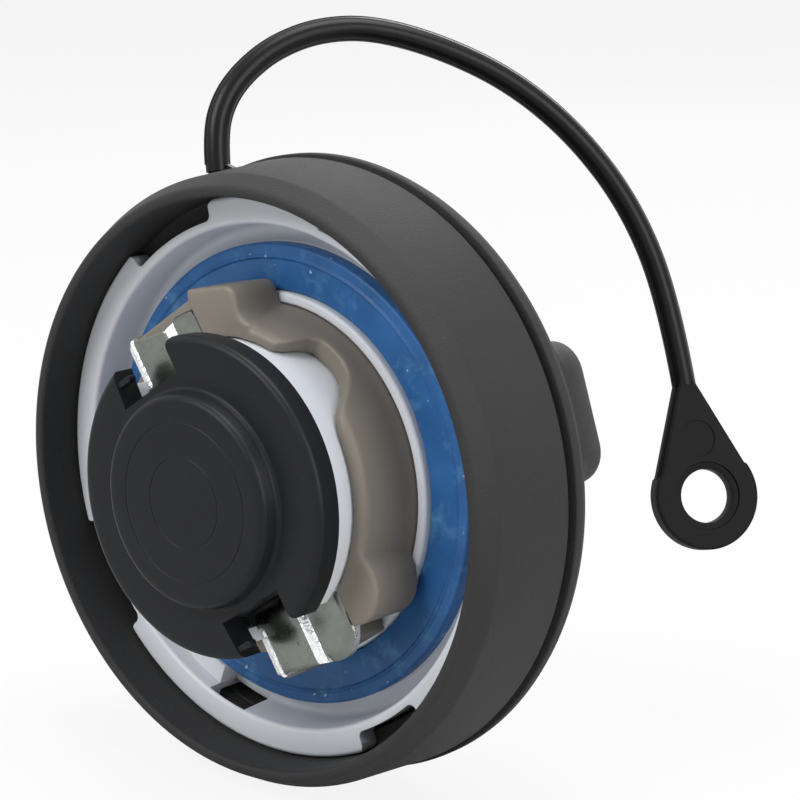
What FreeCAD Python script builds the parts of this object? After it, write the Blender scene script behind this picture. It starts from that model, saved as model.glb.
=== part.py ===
import FreeCAD, Part
import math
import os
import re
import Sketcher

# Fuel filler cap of the bayonet kind, with a tether. Millimetres, +Z up.
# The cap's axis lies along Y: the tank side points to -Y, the grip to +Y.
# The origin is on the axis, in the plane of the seal's face, where the cap
# seats on the filler neck. A "depth" is measured from that plane towards
# the tank, so that Y = -depth. Angles ("turns") are seen from the tank side,
# in degrees anticlockwise from straight up.

SIZES = [
    # cover disc with its grip
    ("cover_overhang", 0.4),
    ("cover_edge", 1.2),
    ("cover_bevel", 1.9),
    ("cover_crown", 1.9),
    ("cover_crown_share", 0.75),
    ("bevel_share", 0.3),
    ("cover_wall", 2.3),
    ("groove_width", 1.1),
    ("spigot_overlap", 1.4),
    ("spigot_wall", 1.6),
    ("grip_turn", 17.5),
    ("grip_inset", 1.5),
    ("grip_width", 18.8),
    ("grip_height", 11.5),
    ("grip_end_radius", 11.0),
    ("grip_bevel", 2.4),
    ("grip_wall", 2.6),
    ("screw_boss_radius", 3.2),
    ("screw_boss_depth", 5.2),
    # skirt ring
    ("skirt_lip_width", 1.4),
    ("skirt_bevel_width", 1.5),
    ("skirt_taper", 0.9),
    ("skirt_back", -7.0),
    ("skirt_bevel_depth", 6.05),
    ("skirt_front", 9.0),
    ("skirt_lip_bevel", 0.5),
    ("skirt_back_wall", 2.2),
    ("ledge_width", 2.5),
    ("ledge_front", -0.2),
    ("ledge_thickness", 2.0),
    # inner body: floor, neck, seal channel, funnel and lobes
    ("floor_back", -7.5),
    ("floor_thickness", 2.0),
    ("vent_radius", 3.0),
    ("neck_radius", 20.0),
    ("neck_wall", 1.8),
    ("neck_front", 13.0),
    ("flange_back", -4.8),
    ("flange_gap", 0.6),
    ("lobe_gap", 0.2),
    ("lobe_front", 2.75),
    ("lobe_gap_depth", 2.7),
    ("gap_one_turn", 30.0),
    ("gap_one_half", 8.3),
    ("gap_two_turn", -19.0),
    ("gap_two_half", 3.5),
    ("gap_three_turn", -145.6),
    ("gap_three_half", 5.8),
    ("gap_four_turn", 121.0),
    ("gap_four_half", 8.0),
    ("lobe_bevel", 0.6),
    ("well_wall", 1.0),
    ("well_draft", 0.4),
    ("well_floor_width", 2.3),
    ("well_floor", -3.0),
    ("well_web_turn", 149.0),
    ("well_web_half", 5.5),
    ("well_web_top", 0.4),
    ("well_web_gap", 0.4),
    ("rib_front", 0.9),
    ("rib_gap", 0.1),
    ("rib_width", 1.4),
    ("yoke_seat", -2.5),
    ("window_turn", 164.9),
    ("window_half", 3.3),
    ("window_reach", 2.4),
    ("window_top", 2.0),
    # seal
    ("seal_width", 6.2),
    ("seal_thickness", 2.2),
    ("seal_gap", 0.1),
    ("seal_lip_inset", 1.8),
    ("seal_lip_width", 0.7),
    ("seal_lip_height", 0.3),
    # guide ring
    ("guide_gap", 0.15),
    ("guide_base_wall", 3.45),
    ("guide_rim_wall", 1.95),
    ("guide_front", 9.45),
    ("guide_bevel", 0.7),
    ("guide_overlap", 0.6),
    ("block_lift", 0.2),
    ("block_reach", 3.1),
    ("block_turn", 10.5),
    ("block_left", 3.9),
    ("block_right", 4.6),
    ("boss_turn", 117.0),
    ("boss_bulge", 5.0),
    ("pad_reach", 1.6),
    ("pad_side", 1.5),
    ("pocket_gap", 0.15),
    ("ramp_turn", 40.0),
    ("ramp_low", 4.1),
    ("ramp_start", 7.0),
    ("ramp_foot", 5.8),
    ("ramp_rise", 1.3),
    ("ramp_end", 7.2),
    # steel yoke
    ("yoke_turn", 33.5),
    ("yoke_sheet", 1.9),
    ("yoke_half_width", 6.0),
    ("yoke_bend", 3.0),
    ("yoke_bore_gap", 0.5),
    ("yoke_arm_gap", 0.98),
    ("lug_room", 2.5),
    ("lug_reach", 3.9),
    ("tab_drop", 1.25),
    ("tab_start", 2.0),
    ("tab_reach", 4.8),
    ("tab_overlap", 1.3),
    ("wing_width", 2.3),
    ("slot_gap", 0.2),
    # end plug
    ("plug_radius", 21.3),
    ("plug_thickness", 3.6),
    ("plug_bevel", 0.9),
    ("boss_radius", 13.9),
    ("boss_height", 2.6),
    ("boss_foot", 0.8),
    ("boss_bevel", 0.9),
    ("spring_recess", 4.0),
    ("notch_depth", 0.7),
    ("notch_tab", 2.8),
    ("notch_tab_wall", 1.1),
    ("collar_height", 2.4),
    ("collar_wall", 1.3),
    ("collar_gap", 0.1),
    # main spring
    ("main_spring_inner_gap", 0.95),
    ("main_spring_wire", 1.5),
    ("main_spring_turns", 4.5),
    ("main_spring_gap", 0.4),
    # valve cage and valves
    ("cage_radius", 9.4),
    ("cage_wall", 1.2),
    ("cage_front", 6.0),
    ("cage_mouth", 4.6),
    ("valve_gap", 0.8),
    ("valve_plate", 1.2),
    ("valve_hole", 1.7),
    ("valve_seal", 0.7),
    ("valve_seal_bore", 5.0),
    ("valve_spring_radius", 6.0),
    ("valve_spring_wire", 0.8),
    ("valve_spring_turns", 5.0),
    ("vacuum_head_radius", 3.2),
    ("vacuum_head", 0.9),
    ("vacuum_seal", 0.5),
    ("vacuum_stem", 1.1),
    ("vacuum_spring_radius", 2.2),
    ("vacuum_spring_wire", 0.6),
    ("vacuum_spring_length", 3.4),
    ("vacuum_spring_turns", 3.0),
    ("clip_radius", 3.0),
    ("clip_thickness", 0.8),
    # screws that hold the cover to the inner body
    ("screw_head_gap", 0.1),
    ("screw_radius", 1.4),
    ("screw_length", 5.6),
    ("screw_head_radius", 2.4),
    ("screw_head", 1.6),
    ("screw_hole_gap", 0.1),
    # tether
    ("tether_turn", 25.5),
    ("tether_ring_gap", 0.2),
    ("tether_ring_inset", 0.8),
    ("tether_ring_thickness", 0.8),
    ("tether_tongue_overlap", 1.5),
    ("tether_root_gap", 0.4),
    ("tether_root_length", 1.1),
    ("tether_root_block", 0.5),
    ("tether_stub", 1.0),
    ("tether_diameter", 3.3),
    ("strap_azimuth", 54.8),
    ("strap_lean", 15.9),
    ("eye_radius", 7.75),
    ("eye_bore", 3.85),
    ("eye_thickness", 3.0),
    ("eye_length", 16.2),
]

doc = FreeCAD.newDocument("fuel_filler_cap")
sheet = doc.addObject("Spreadsheet::Sheet", "sizes")
for row, (alias, number) in enumerate(SIZES, start=1):
    sheet.set(f"A{row}", alias)
    sheet.set(f"B{row}", str(number))
    sheet.setAlias(f"B{row}", alias)
doc.recompute()
ALIASES = {alias for alias, number in SIZES}

# The four screws stand between the grip's directions, in degrees from its turn.
SCREW_OFFSETS = (45, 135, -45, -135)

# Straight runs in each turn of a coil spring.
STEPS_PER_TURN = 12


def size(alias):
    """The value of one cell of the sheet."""
    return float(sheet.get(alias))


def bound(text):
    """An expression whose words that name a size point to the sheet."""
    return re.sub(
        r"[a-z][a-z_]*",
        lambda word: "sizes." + word.group(0) if word.group(0) in ALIASES else word.group(0),
        text,
    )


# Radii from the neck outwards: each is the one before it and a wall, a width or a gap.
NECK_BORE = "(neck_radius - neck_wall)"
GUIDE_BORE = "(neck_radius + guide_gap)"
GUIDE_RIM = f"({GUIDE_BORE} + guide_rim_wall)"
GUIDE_BASE = f"({GUIDE_BORE} + guide_base_wall)"
PAD_END = f"({GUIDE_BASE} + pad_reach)"
BLOCK_RADIUS = f"({GUIDE_BASE} + block_reach)"
RIB_INNER = f"({GUIDE_BASE} + rib_gap)"
CHANNEL_INNER = f"({RIB_INNER} + rib_width)"
SEAL_INNER = f"({CHANNEL_INNER} + seal_gap)"
SEAL_OUTER = f"({SEAL_INNER} + seal_width)"
SEAL_LIP = f"({SEAL_OUTER} - seal_lip_inset)"
CHANNEL_OUTER = f"({SEAL_OUTER} + seal_gap)"
WELL_FOOT = f"({CHANNEL_OUTER} + well_floor_width)"
WELL_RADIUS = f"({WELL_FOOT} + well_draft)"
FLANGE_RADIUS = f"({WELL_RADIUS} + well_wall)"
LEDGE_BORE = f"({FLANGE_RADIUS} + flange_gap)"
SPIGOT_RADIUS = f"({LEDGE_BORE} + spigot_overlap)"
SKIRT_BORE = f"({LEDGE_BORE} + ledge_width)"
LOBE_RADIUS = f"({SKIRT_BORE} - lobe_gap)"
LOBE_GAP_RADIUS = f"({LOBE_RADIUS} - lobe_gap_depth)"
SKIRT_FACE_RADIUS = f"({SKIRT_BORE} + skirt_lip_width)"
SKIRT_BEVEL_RADIUS = f"({SKIRT_FACE_RADIUS} + skirt_bevel_width)"
SKIRT_BACK_RADIUS = f"({SKIRT_BEVEL_RADIUS} + skirt_taper)"
COVER_RADIUS = f"({SKIRT_BACK_RADIUS} + cover_overhang)"
GRIP_HALF = f"({COVER_RADIUS} - grip_inset)"
TETHER_RING_RADIUS = f"({SKIRT_BACK_RADIUS} - tether_ring_inset)"
TETHER_ROOT = f"({COVER_RADIUS} + tether_root_gap)"
TETHER_END = f"({TETHER_ROOT} + tether_root_length)"

# Radii inside the neck: the valve cage, the main spring, the screws and the yoke's arms.
YOKE_BORE = "(cage_radius + yoke_bore_gap)"
VALVE_RADIUS = "(cage_radius - cage_wall - valve_gap)"
MAIN_SPRING_RADIUS = "(cage_radius + main_spring_inner_gap + main_spring_wire / 2)"
SCREW_CIRCLE = "(cage_radius + screw_head_gap + screw_head_radius)"
YOKE_SEAT_RADIUS = f"({SCREW_CIRCLE} + screw_head_radius + screw_head_gap)"
ARM_OUTER = f"(sqrt({NECK_BORE}^2 - yoke_half_width^2) - yoke_arm_gap)"
NOTCH_INNER = f"({ARM_OUTER} - notch_depth)"
LUG_END = "(neck_radius + lug_reach)"
TAB_END = "(neck_radius + tab_reach)"
WINDOW_REACH = f"({WELL_RADIUS} + window_reach)"

# Depths that meet: the lugs slide in the room below the plug and rest on the guide ring's pads.
BLOCK_LOW = "(rib_front + block_lift)"
LUG_FRONT = "(neck_front - lug_room)"
PAD_FRONT = f"({LUG_FRONT} - yoke_sheet)"
POCKET_DEPTH = f"({PAD_FRONT} - tab_drop - pocket_gap)"
SLOT_DEPTH = f"({POCKET_DEPTH} - slot_gap)"


def value(text):
    """The number that an expression of sizes gives."""
    return float(sheet.evalExpression(bound(text)))


# Helpers for bodies, sketches and features

def new_body(label):
    body = doc.addObject("PartDesign::Body", label)
    body.Label = label
    return body


def new_sketch(body, name, role="XZ_Plane", depth=None, turn=None, pitch=None, roll=None):
    """A sketch on one of the body's origin planes.

    On XZ_Plane its axes are X and Z, and depth moves it towards the tank.
    """
    plane = next(item for item in body.Origin.OriginFeatures if item.Role == role)
    sketch = body.newObject("Sketcher::SketchObject", name)
    sketch.AttachmentSupport = [(plane, "")]
    sketch.MapMode = "FlatFace"
    if depth is not None:
        sketch.setExpression("AttachmentOffset.Base.z", bound(depth))
    if turn is not None:
        sketch.setExpression("AttachmentOffset.Rotation.Yaw", bound(turn))
    if pitch is not None:
        sketch.setExpression("AttachmentOffset.Rotation.Pitch", bound(pitch))
    if roll is not None:
        sketch.setExpression("AttachmentOffset.Rotation.Roll", bound(roll))
    return sketch


def place_point(sketch, element, end, x, y):
    """Ties one point of the sketch to two expressions."""
    index = sketch.addConstraint(Sketcher.Constraint("DistanceX", -1, 1, element, end, 1.0))
    sketch.setExpression(f"Constraints[{index}]", bound(x))
    index = sketch.addConstraint(Sketcher.Constraint("DistanceY", -1, 1, element, end, 1.0))
    sketch.setExpression(f"Constraints[{index}]", bound(y))


def outline(sketch, corners):
    """A closed outline of straight lines through corners of (x, y) expressions."""
    first = sketch.GeometryCount
    count = len(corners)
    for k in range(count):
        start = math.tau * k / count
        end = math.tau * (k + 1) / count
        sketch.addGeometry(Part.LineSegment(
            FreeCAD.Vector(10 + math.cos(start), 10 + math.sin(start), 0),
            FreeCAD.Vector(10 + math.cos(end), 10 + math.sin(end), 0),
        ), False)
    for k in range(count):
        after = first + (k + 1) % count
        sketch.addConstraint(Sketcher.Constraint("Coincident", first + k, 2, after, 1))
    for k, (x, y) in enumerate(corners):
        place_point(sketch, first + k, 1, x, y)


def circle(sketch, radius, x="0", y="0"):
    """A circle whose radius and centre are expressions."""
    index = sketch.addGeometry(Part.Circle(FreeCAD.Vector(1, 1, 0), FreeCAD.Vector(0, 0, 1), 1.0), False)
    rule = sketch.addConstraint(Sketcher.Constraint("Radius", index, 1.0))
    sketch.setExpression(f"Constraints[{rule}]", bound(radius))
    if x == "0" and y == "0":
        sketch.addConstraint(Sketcher.Constraint("Coincident", index, 3, -1, 1))
    else:
        place_point(sketch, index, 3, x, y)


def rectangle(sketch, left, right, low, high):
    outline(sketch, [(left, low), (right, low), (right, high), (left, high)])


def revolve(body, name, corners, cut=False):
    """Turns a closed profile of (radius, depth) corners about the cap's axis."""
    sketch = new_sketch(body, name + "_profile", role="XY_Plane")
    outline(sketch, [(radius, f"-({depth})") for radius, depth in corners])
    kind = "PartDesign::Groove" if cut else "PartDesign::Revolution"
    feature = body.newObject(kind, name)
    feature.Profile = sketch
    feature.ReferenceAxis = (sketch, ["V_Axis"])
    feature.Angle = 360
    doc.recompute()
    return feature


def pad(body, name, sketch, length, both_ways=False, backwards=False):
    """Thickens a sketch along its normal, towards the tank on XZ_Plane."""
    feature = body.newObject("PartDesign::Pad", name)
    feature.Profile = sketch
    feature.setExpression("Length", bound(length))
    feature.Midplane = both_ways
    feature.Reversed = backwards
    doc.recompute()
    return feature


def pocket(body, name, sketch, length, towards_normal=True):
    """Cuts a sketch out along its normal, and checks that it took volume away."""
    before = body.Shape.Volume
    feature = body.newObject("PartDesign::Pocket", name)
    feature.Profile = sketch
    feature.Reversed = towards_normal
    feature.setExpression("Length", bound(length))
    doc.recompute()
    if body.Shape.Volume > before - 1e-6:
        raise RuntimeError(f"{body.Label}: {name} cuts nothing")
    return feature


def bevel_edges(body, name, feature, chosen, width):
    """Bevels the edges whose two ends and middle pass the given test."""
    names = []
    for index, edge in enumerate(feature.Shape.Edges, start=1):
        first, last = edge.ParameterRange
        points = [edge.valueAt(first), edge.valueAt((first + last) / 2), edge.valueAt(last)]
        if chosen(points):
            names.append(f"Edge{index}")
    bevel = body.newObject("PartDesign::Chamfer", name)
    bevel.Base = (feature, names)
    bevel.setExpression("Size", bound(width))
    doc.recompute()
    return bevel


# Cover disc, its spigot and its grip

def make_cover_disc():
    body = new_body("cover_disc")
    front = "skirt_back - groove_width"
    edge = f"{front} - cover_edge"
    shoulder = f"{edge} - cover_bevel"
    inside = f"{shoulder} - cover_crown + cover_wall"

    # The grip is a bar across the disc. Its ends are round in side view, in short runs.
    side = new_sketch(body, "grip_side", role="XY_Plane", pitch="-grip_turn")
    low = f"-({edge}) + cover_wall / 2"
    right_end = []
    for angle in (0, 30, 60, 90):
        along = f"{GRIP_HALF} - grip_end_radius * (1 - cos({angle}))"
        high = f"-({shoulder}) + grip_height - grip_end_radius * (1 - sin({angle}))"
        right_end.append((along, high))
    left_end = [(f"-({along})", high) for along, high in reversed(right_end)]
    outline(side, [(f"-{GRIP_HALF}", low), (GRIP_HALF, low)] + right_end + left_end)
    bar = pad(body, "grip_bar", side, "grip_width", both_ways=True)
    bevel_edges(body, "grip_bevel", bar, is_grip_side, "grip_bevel")

    revolve(body, "disc", [
        ("0", inside),
        (f"{SPIGOT_RADIUS} - spigot_wall", inside),
        (f"{SPIGOT_RADIUS} - spigot_wall", "ledge_front - ledge_thickness"),
        (SPIGOT_RADIUS, "ledge_front - ledge_thickness"),
        (SPIGOT_RADIUS, front),
        (COVER_RADIUS, front),
        (COVER_RADIUS, edge),
        (f"{COVER_RADIUS} - cover_bevel * bevel_share", f"{edge} - cover_bevel * (1 - bevel_share)"),
        (f"{COVER_RADIUS} - cover_bevel", shoulder),
        (f"{COVER_RADIUS} / 2", f"{shoulder} - cover_crown * cover_crown_share"),
        ("0", f"{shoulder} - cover_crown"),
    ])

    # The bar is hollow from inside, as a moulding is.
    hollow = new_sketch(body, "grip_hollow", depth=inside, turn="grip_turn")
    half = f"({SPIGOT_RADIUS} - spigot_wall - grip_wall)"
    inner_half_width = "(grip_width / 2 - grip_wall)"
    rectangle(hollow, f"-{half}", half, f"-{inner_half_width}", inner_half_width)
    pocket(body, "grip_core", hollow, "grip_height + cover_wall - grip_wall", towards_normal=False)

    for k, offset in enumerate(SCREW_OFFSETS):
        turn = f"grip_turn + ({offset})"
        column = new_sketch(body, f"boss_{k + 1}", depth=f"{inside} - cover_wall / 2", turn=turn)
        circle(column, "screw_boss_radius", y=SCREW_CIRCLE)
        pad(body, f"screw_boss_{k + 1}", column, f"floor_back - ({inside}) + cover_wall / 2")
        bore = new_sketch(body, f"bore_{k + 1}", depth="floor_back", turn=turn)
        circle(bore, "screw_radius + screw_hole_gap", y=SCREW_CIRCLE)
        pocket(body, f"screw_bore_{k + 1}", bore, "screw_length - floor_thickness + screw_hole_gap",
               towards_normal=False)
    return body


def is_grip_side(points):
    """True for the edges of the bar's two long sides, but not those inside the disc."""
    turn = math.radians(size("grip_turn"))
    across = FreeCAD.Vector(-math.sin(turn), 0, math.cos(turn))
    edge_height = size("groove_width") + size("cover_edge") - size("skirt_back")
    on_side = all(abs(abs(point.dot(across)) - size("grip_width") / 2) < 1e-4 for point in points)
    return on_side and max(point.y for point in points) > edge_height + size("cover_wall")


# Skirt ring: outer wall with a bevelled front and a ledge inside

def make_skirt_ring():
    body = new_body("skirt_ring")
    back_bore = f"{SKIRT_BACK_RADIUS} - skirt_back_wall"
    bevel = "skirt_lip_bevel"
    revolve(body, "ring", [
        (back_bore, "skirt_back"),
        (SKIRT_BACK_RADIUS, "skirt_back"),
        (SKIRT_BEVEL_RADIUS, "skirt_bevel_depth"),
        (SKIRT_FACE_RADIUS, f"skirt_front - {bevel}"),
        (f"{SKIRT_FACE_RADIUS} - {bevel}", "skirt_front"),
        (f"{SKIRT_BORE} + {bevel}", "skirt_front"),
        (SKIRT_BORE, f"skirt_front - {bevel}"),
        (SKIRT_BORE, "ledge_front"),
        (LEDGE_BORE, "ledge_front"),
        (LEDGE_BORE, "ledge_front - ledge_thickness"),
        (back_bore, "ledge_front - ledge_thickness"),
    ])
    return body


# Inner body: floor, neck, seal channel, funnel and lobes

def make_inner_body():
    body = new_body("inner_body")
    revolve(body, "frame", [
        ("vent_radius", "floor_back"),
        ("neck_radius", "floor_back"),
        ("neck_radius", "flange_back"),
        (FLANGE_RADIUS, "flange_back"),
        (FLANGE_RADIUS, "ledge_front"),
        (LOBE_RADIUS, "ledge_front"),
        (LOBE_RADIUS, "lobe_front - lobe_bevel"),
        (f"{LOBE_RADIUS} - lobe_bevel", "lobe_front"),
        (f"{WELL_RADIUS} + lobe_bevel", "lobe_front"),
        (WELL_RADIUS, "lobe_front - lobe_bevel"),
        (WELL_FOOT, "well_floor"),
        (CHANNEL_OUTER, "well_floor"),
        (CHANNEL_OUTER, "-seal_thickness"),
        (CHANNEL_INNER, "-seal_thickness"),
        (CHANNEL_INNER, "rib_front / 2"),
        (f"{CHANNEL_INNER} - rib_front / 2", "rib_front"),
        (f"{RIB_INNER} + rib_front / 2", "rib_front"),
        (RIB_INNER, "rib_front / 2"),
        (RIB_INNER, "0"),
        ("neck_radius", "0"),
        ("neck_radius", "neck_front"),
        (NECK_BORE, "neck_front"),
        (NECK_BORE, "yoke_seat"),
        (YOKE_SEAT_RADIUS, "yoke_seat"),
        (YOKE_SEAT_RADIUS, "floor_back + floor_thickness"),
        ("vent_radius", "floor_back + floor_thickness"),
    ])
    # Slots in the neck let the yoke's two arms through.
    half = "(yoke_half_width + slot_gap)"
    slots = new_sketch(body, "arm_slots", depth=SLOT_DEPTH, turn="yoke_turn")
    rectangle(slots, f"-{half}", half, "-neck_radius - 1", "neck_radius + 1")
    pocket(body, "neck_slots", slots, f"neck_front - {SLOT_DEPTH} + 1")

    for k, offset in enumerate(SCREW_OFFSETS):
        hole = new_sketch(body, f"hole_{k + 1}", depth="floor_back - 1", turn=f"grip_turn + ({offset})")
        circle(hole, "screw_radius + screw_hole_gap", y=SCREW_CIRCLE)
        pocket(body, f"screw_hole_{k + 1}", hole, "floor_thickness + 2")

    # A web closes part of the well beside the window.
    web = new_sketch(body, "web_plan", depth="well_floor", turn="well_web_turn")
    rectangle(web, "-well_web_half", "well_web_half", f"{CHANNEL_OUTER} + well_web_gap", WELL_RADIUS)
    pad(body, "well_web", web, "well_web_top - well_floor")

    # Four gaps between the lobes, unevenly spaced, show the ledge behind.
    for word in ("one", "two", "three", "four"):
        gap = new_sketch(body, f"gap_{word}", depth="ledge_front", turn=f"gap_{word}_turn")
        rectangle(gap, f"-gap_{word}_half", f"gap_{word}_half", LOBE_GAP_RADIUS, f"{LOBE_RADIUS} + 1")
        pocket(body, f"lobe_gap_{word}", gap, "lobe_front - ledge_front + 1")

    window = new_sketch(body, "window", depth="well_floor", turn="window_turn")
    rectangle(window, "-window_half", "window_half", f"{WELL_FOOT} - 1", WINDOW_REACH)
    pocket(body, "wall_window", window, "window_top - well_floor")
    return body


def make_seal_ring():
    body = new_body("seal_ring")
    lip = "seal_lip_width / 2"
    revolve(body, "ring", [
        (SEAL_INNER, "-seal_thickness"),
        (SEAL_OUTER, "-seal_thickness"),
        (SEAL_OUTER, "0"),
        (f"{SEAL_LIP} + {lip}", "0"),
        (SEAL_LIP, "seal_lip_height"),
        (f"{SEAL_LIP} - {lip}", "0"),
        (SEAL_INNER, "0"),
    ])
    return body


# Guide ring round the neck: rim with ramps, a block, a rounded boss and arm pads

def make_guide_ring():
    body = new_body("guide_ring")
    revolve(body, "wall", [
        (GUIDE_BORE, "0"),
        (GUIDE_BASE, "0"),
        (GUIDE_BASE, BLOCK_LOW),
        (GUIDE_RIM, "guide_front - guide_bevel"),
        (f"{GUIDE_RIM} - guide_bevel", "guide_front"),
        (GUIDE_BORE, "guide_front"),
    ])
    inside = f"{GUIDE_BORE} + guide_overlap"
    rise = f"guide_front - {BLOCK_LOW}"
    block = new_sketch(body, "block_plan", depth=BLOCK_LOW, turn="block_turn")
    rectangle(block, "-block_left", "block_right", inside, BLOCK_RADIUS)
    pad(body, "block", block, rise)
    boss = new_sketch(body, "boss_plan", depth=BLOCK_LOW, turn="-boss_turn")
    circle(boss, "boss_bulge", y=f"{BLOCK_RADIUS} - boss_bulge")
    pad(body, "boss", boss, rise)

    # Pads carry the two arms; the arm pockets are cut into them.
    half = "(yoke_half_width + slot_gap)"
    for k in range(2):
        turn = f"yoke_turn - {180 * k}"
        plan = new_sketch(body, f"pad_plan_{k + 1}", depth=BLOCK_LOW, turn=turn)
        left, right = (f"-{half} - pad_side", half) if k == 0 else (f"-{half}", f"{half} + pad_side")
        rectangle(plan, left, right, inside, PAD_END)
        pad(body, f"arm_pad_{k + 1}", plan, f"{PAD_FRONT} - {BLOCK_LOW}")
    bore_plan = new_sketch(body, "bore_plan", depth="0")
    circle(bore_plan, GUIDE_BORE)
    pocket(body, "bore", bore_plan, "guide_front + 1")
    for k in range(2):
        turn = f"yoke_turn - {180 * k}"
        plan = new_sketch(body, f"pocket_plan_{k + 1}", depth=POCKET_DEPTH, turn=turn)
        wing = "wing_width" if k == 1 else "0"
        rectangle(plan, f"-{half} - {wing}", half, NECK_BORE, f"{BLOCK_RADIUS} + 2")
        pocket(body, f"arm_pocket_{k + 1}", plan, f"guide_front - {POCKET_DEPTH} + 1")

    # A ramp dips the rim: steep on one side, sloping on the other.
    cut = new_sketch(body, "ramp_side", role="XY_Plane", pitch="ramp_turn")
    outline(cut, [
        ("-ramp_start", "-guide_front"),
        ("-ramp_foot", "-ramp_low"),
        ("-ramp_rise", "-ramp_low"),
        ("ramp_end", "-guide_front"),
        ("ramp_end", "-guide_front - 1"),
        ("-ramp_start", "-guide_front - 1"),
    ])
    pocket(body, "ramp", cut, f"{BLOCK_RADIUS} + 1")
    return body


# Steel yoke: a ring with two arms bent out through the neck

def make_bayonet_yoke():
    body = new_body("bayonet_yoke")
    ring = new_sketch(body, "ring_plan", depth="yoke_seat", turn="yoke_turn")
    circle(ring, ARM_OUTER)
    circle(ring, YOKE_BORE)
    pad(body, "ring", ring, "yoke_sheet")
    width = "2 * yoke_half_width"
    wide = "(yoke_half_width + tab_start)"
    inner = f"{ARM_OUTER} - yoke_sheet"
    for k, side in enumerate(["", "-"], start=1):
        # The arm in side view: up along the neck, then out to the lug.
        arm = new_sketch(body, f"arm_side_{k}", role="YZ_Plane", roll="-yoke_turn")
        outline(arm, [
            ("-yoke_seat", f"{side}({inner})"),
            (f"-{LUG_FRONT} + yoke_bend", f"{side}({inner})"),
            (f"-{LUG_FRONT} + yoke_bend * bevel_share", f"{side}({inner} + yoke_bend * bevel_share)"),
            (f"-{LUG_FRONT}", f"{side}({inner} + yoke_bend)"),
            (f"-{LUG_FRONT}", f"{side}{LUG_END}"),
            (f"-{LUG_FRONT} + yoke_sheet", f"{side}{LUG_END}"),
            (f"-{LUG_FRONT} + yoke_sheet", f"{side}{ARM_OUTER}"),
            ("-yoke_seat", f"{side}{ARM_OUTER}"),
        ])
        pad(body, f"arm_{k}", arm, width, both_ways=True)
    # One side of each lug is stepped back by a press, and the second one is wider.
    for k in range(2):
        turn = f"yoke_turn - {180 * k}"
        right = "yoke_half_width" if k == 0 else "-tab_start"
        left = "tab_start" if k == 0 else "-yoke_half_width"
        cut = new_sketch(body, f"step_plan_{k + 1}", depth=f"{LUG_FRONT} - tab_drop", turn=turn)
        rectangle(cut, left, right, f"{ARM_OUTER} + tab_overlap", f"{LUG_END} + 2")
        pocket(body, f"step_{k + 1}", cut, "tab_drop + 1")
        low = f"{LUG_FRONT} - tab_drop - yoke_sheet"
        plan = new_sketch(body, f"tab_plan_{k + 1}", depth=low, turn=turn)
        outer = "yoke_half_width" if k == 0 else "-(yoke_half_width)"
        start = "tab_start - tab_overlap" if k == 0 else "-(tab_start - tab_overlap)"
        rectangle(plan, start, outer, f"{ARM_OUTER} + tab_overlap", TAB_END)
        pad(body, f"tab_{k + 1}", plan, "yoke_sheet")
    wing = new_sketch(body, "wing_plan", depth=f"{LUG_FRONT} - tab_drop - yoke_sheet", turn="yoke_turn - 180")
    rectangle(wing, "-yoke_half_width - wing_width", "-tab_start", "neck_radius + 1", TAB_END)
    pad(body, "wing", wing, "yoke_sheet")
    return body


# End plug: disc with a boss, held on the neck's end, notched for the arms

def make_end_plug():
    body = new_body("end_plug")
    front = "neck_front + plug_thickness"
    top = f"{front} + boss_height"
    spring_bore = f"{MAIN_SPRING_RADIUS} + main_spring_wire / 2 + main_spring_gap"
    collar = f"{NECK_BORE} - collar_gap"
    revolve(body, "disc", [
        ("0", top),
        ("boss_radius - boss_bevel", top),
        ("boss_radius", f"{top} - boss_bevel"),
        ("boss_radius", f"{front} + boss_foot"),
        ("boss_radius + boss_foot", front),
        ("plug_radius - plug_bevel", front),
        ("plug_radius", f"{front} - plug_bevel"),
        ("plug_radius", "neck_front"),
        (collar, "neck_front"),
        (collar, "neck_front - collar_height"),
        (f"{collar} - collar_wall", "neck_front - collar_height"),
        (f"{collar} - collar_wall", "neck_front"),
        (spring_bore, "neck_front"),
        (spring_bore, "neck_front + spring_recess"),
        ("0", "neck_front + spring_recess"),
    ])
    half = "(yoke_half_width + slot_gap)"
    for k in range(2):
        plan = new_sketch(body, f"notch_plan_{k + 1}", depth="neck_front - collar_height - 1",
                          turn=f"yoke_turn - {180 * k}")
        # Seen from outside, the rim leaves a small tab on one side of the notch.
        mirror = "" if k == 0 else "-"
        tab = "plug_radius - notch_tab_wall"
        outline(plan, [
            (f"{mirror}(-{half})", NOTCH_INNER),
            (f"{mirror}({half})", NOTCH_INNER),
            (f"{mirror}({half})", "plug_radius + 1"),
            (f"{mirror}(-{half} + notch_tab)", "plug_radius + 1"),
            (f"{mirror}(-{half} + notch_tab)", tab),
            (f"{mirror}(-{half})", tab),
        ])
        pocket(body, f"notch_{k + 1}", plan, "collar_height + plug_thickness + 2")
    return body


# Valve cage, pressure valve and vacuum valve

def make_valve_cage():
    body = new_body("valve_cage")
    inner = "cage_radius - cage_wall"
    revolve(body, "cup", [
        (inner, "floor_back + floor_thickness"),
        ("cage_radius", "floor_back + floor_thickness"),
        ("cage_radius", "cage_front"),
        ("cage_mouth", "cage_front"),
        ("cage_mouth", "cage_front - cage_wall"),
        (inner, "cage_front - cage_wall"),
    ])
    return body


VALVE_FRONT = "cage_front - cage_wall - valve_seal"


def make_pressure_valve_plate():
    body = new_body("pressure_valve_plate")
    revolve(body, "plate", [
        ("valve_hole", f"{VALVE_FRONT} - valve_plate"),
        (VALVE_RADIUS, f"{VALVE_FRONT} - valve_plate"),
        (VALVE_RADIUS, VALVE_FRONT),
        ("valve_hole", VALVE_FRONT),
    ])
    return body


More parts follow.
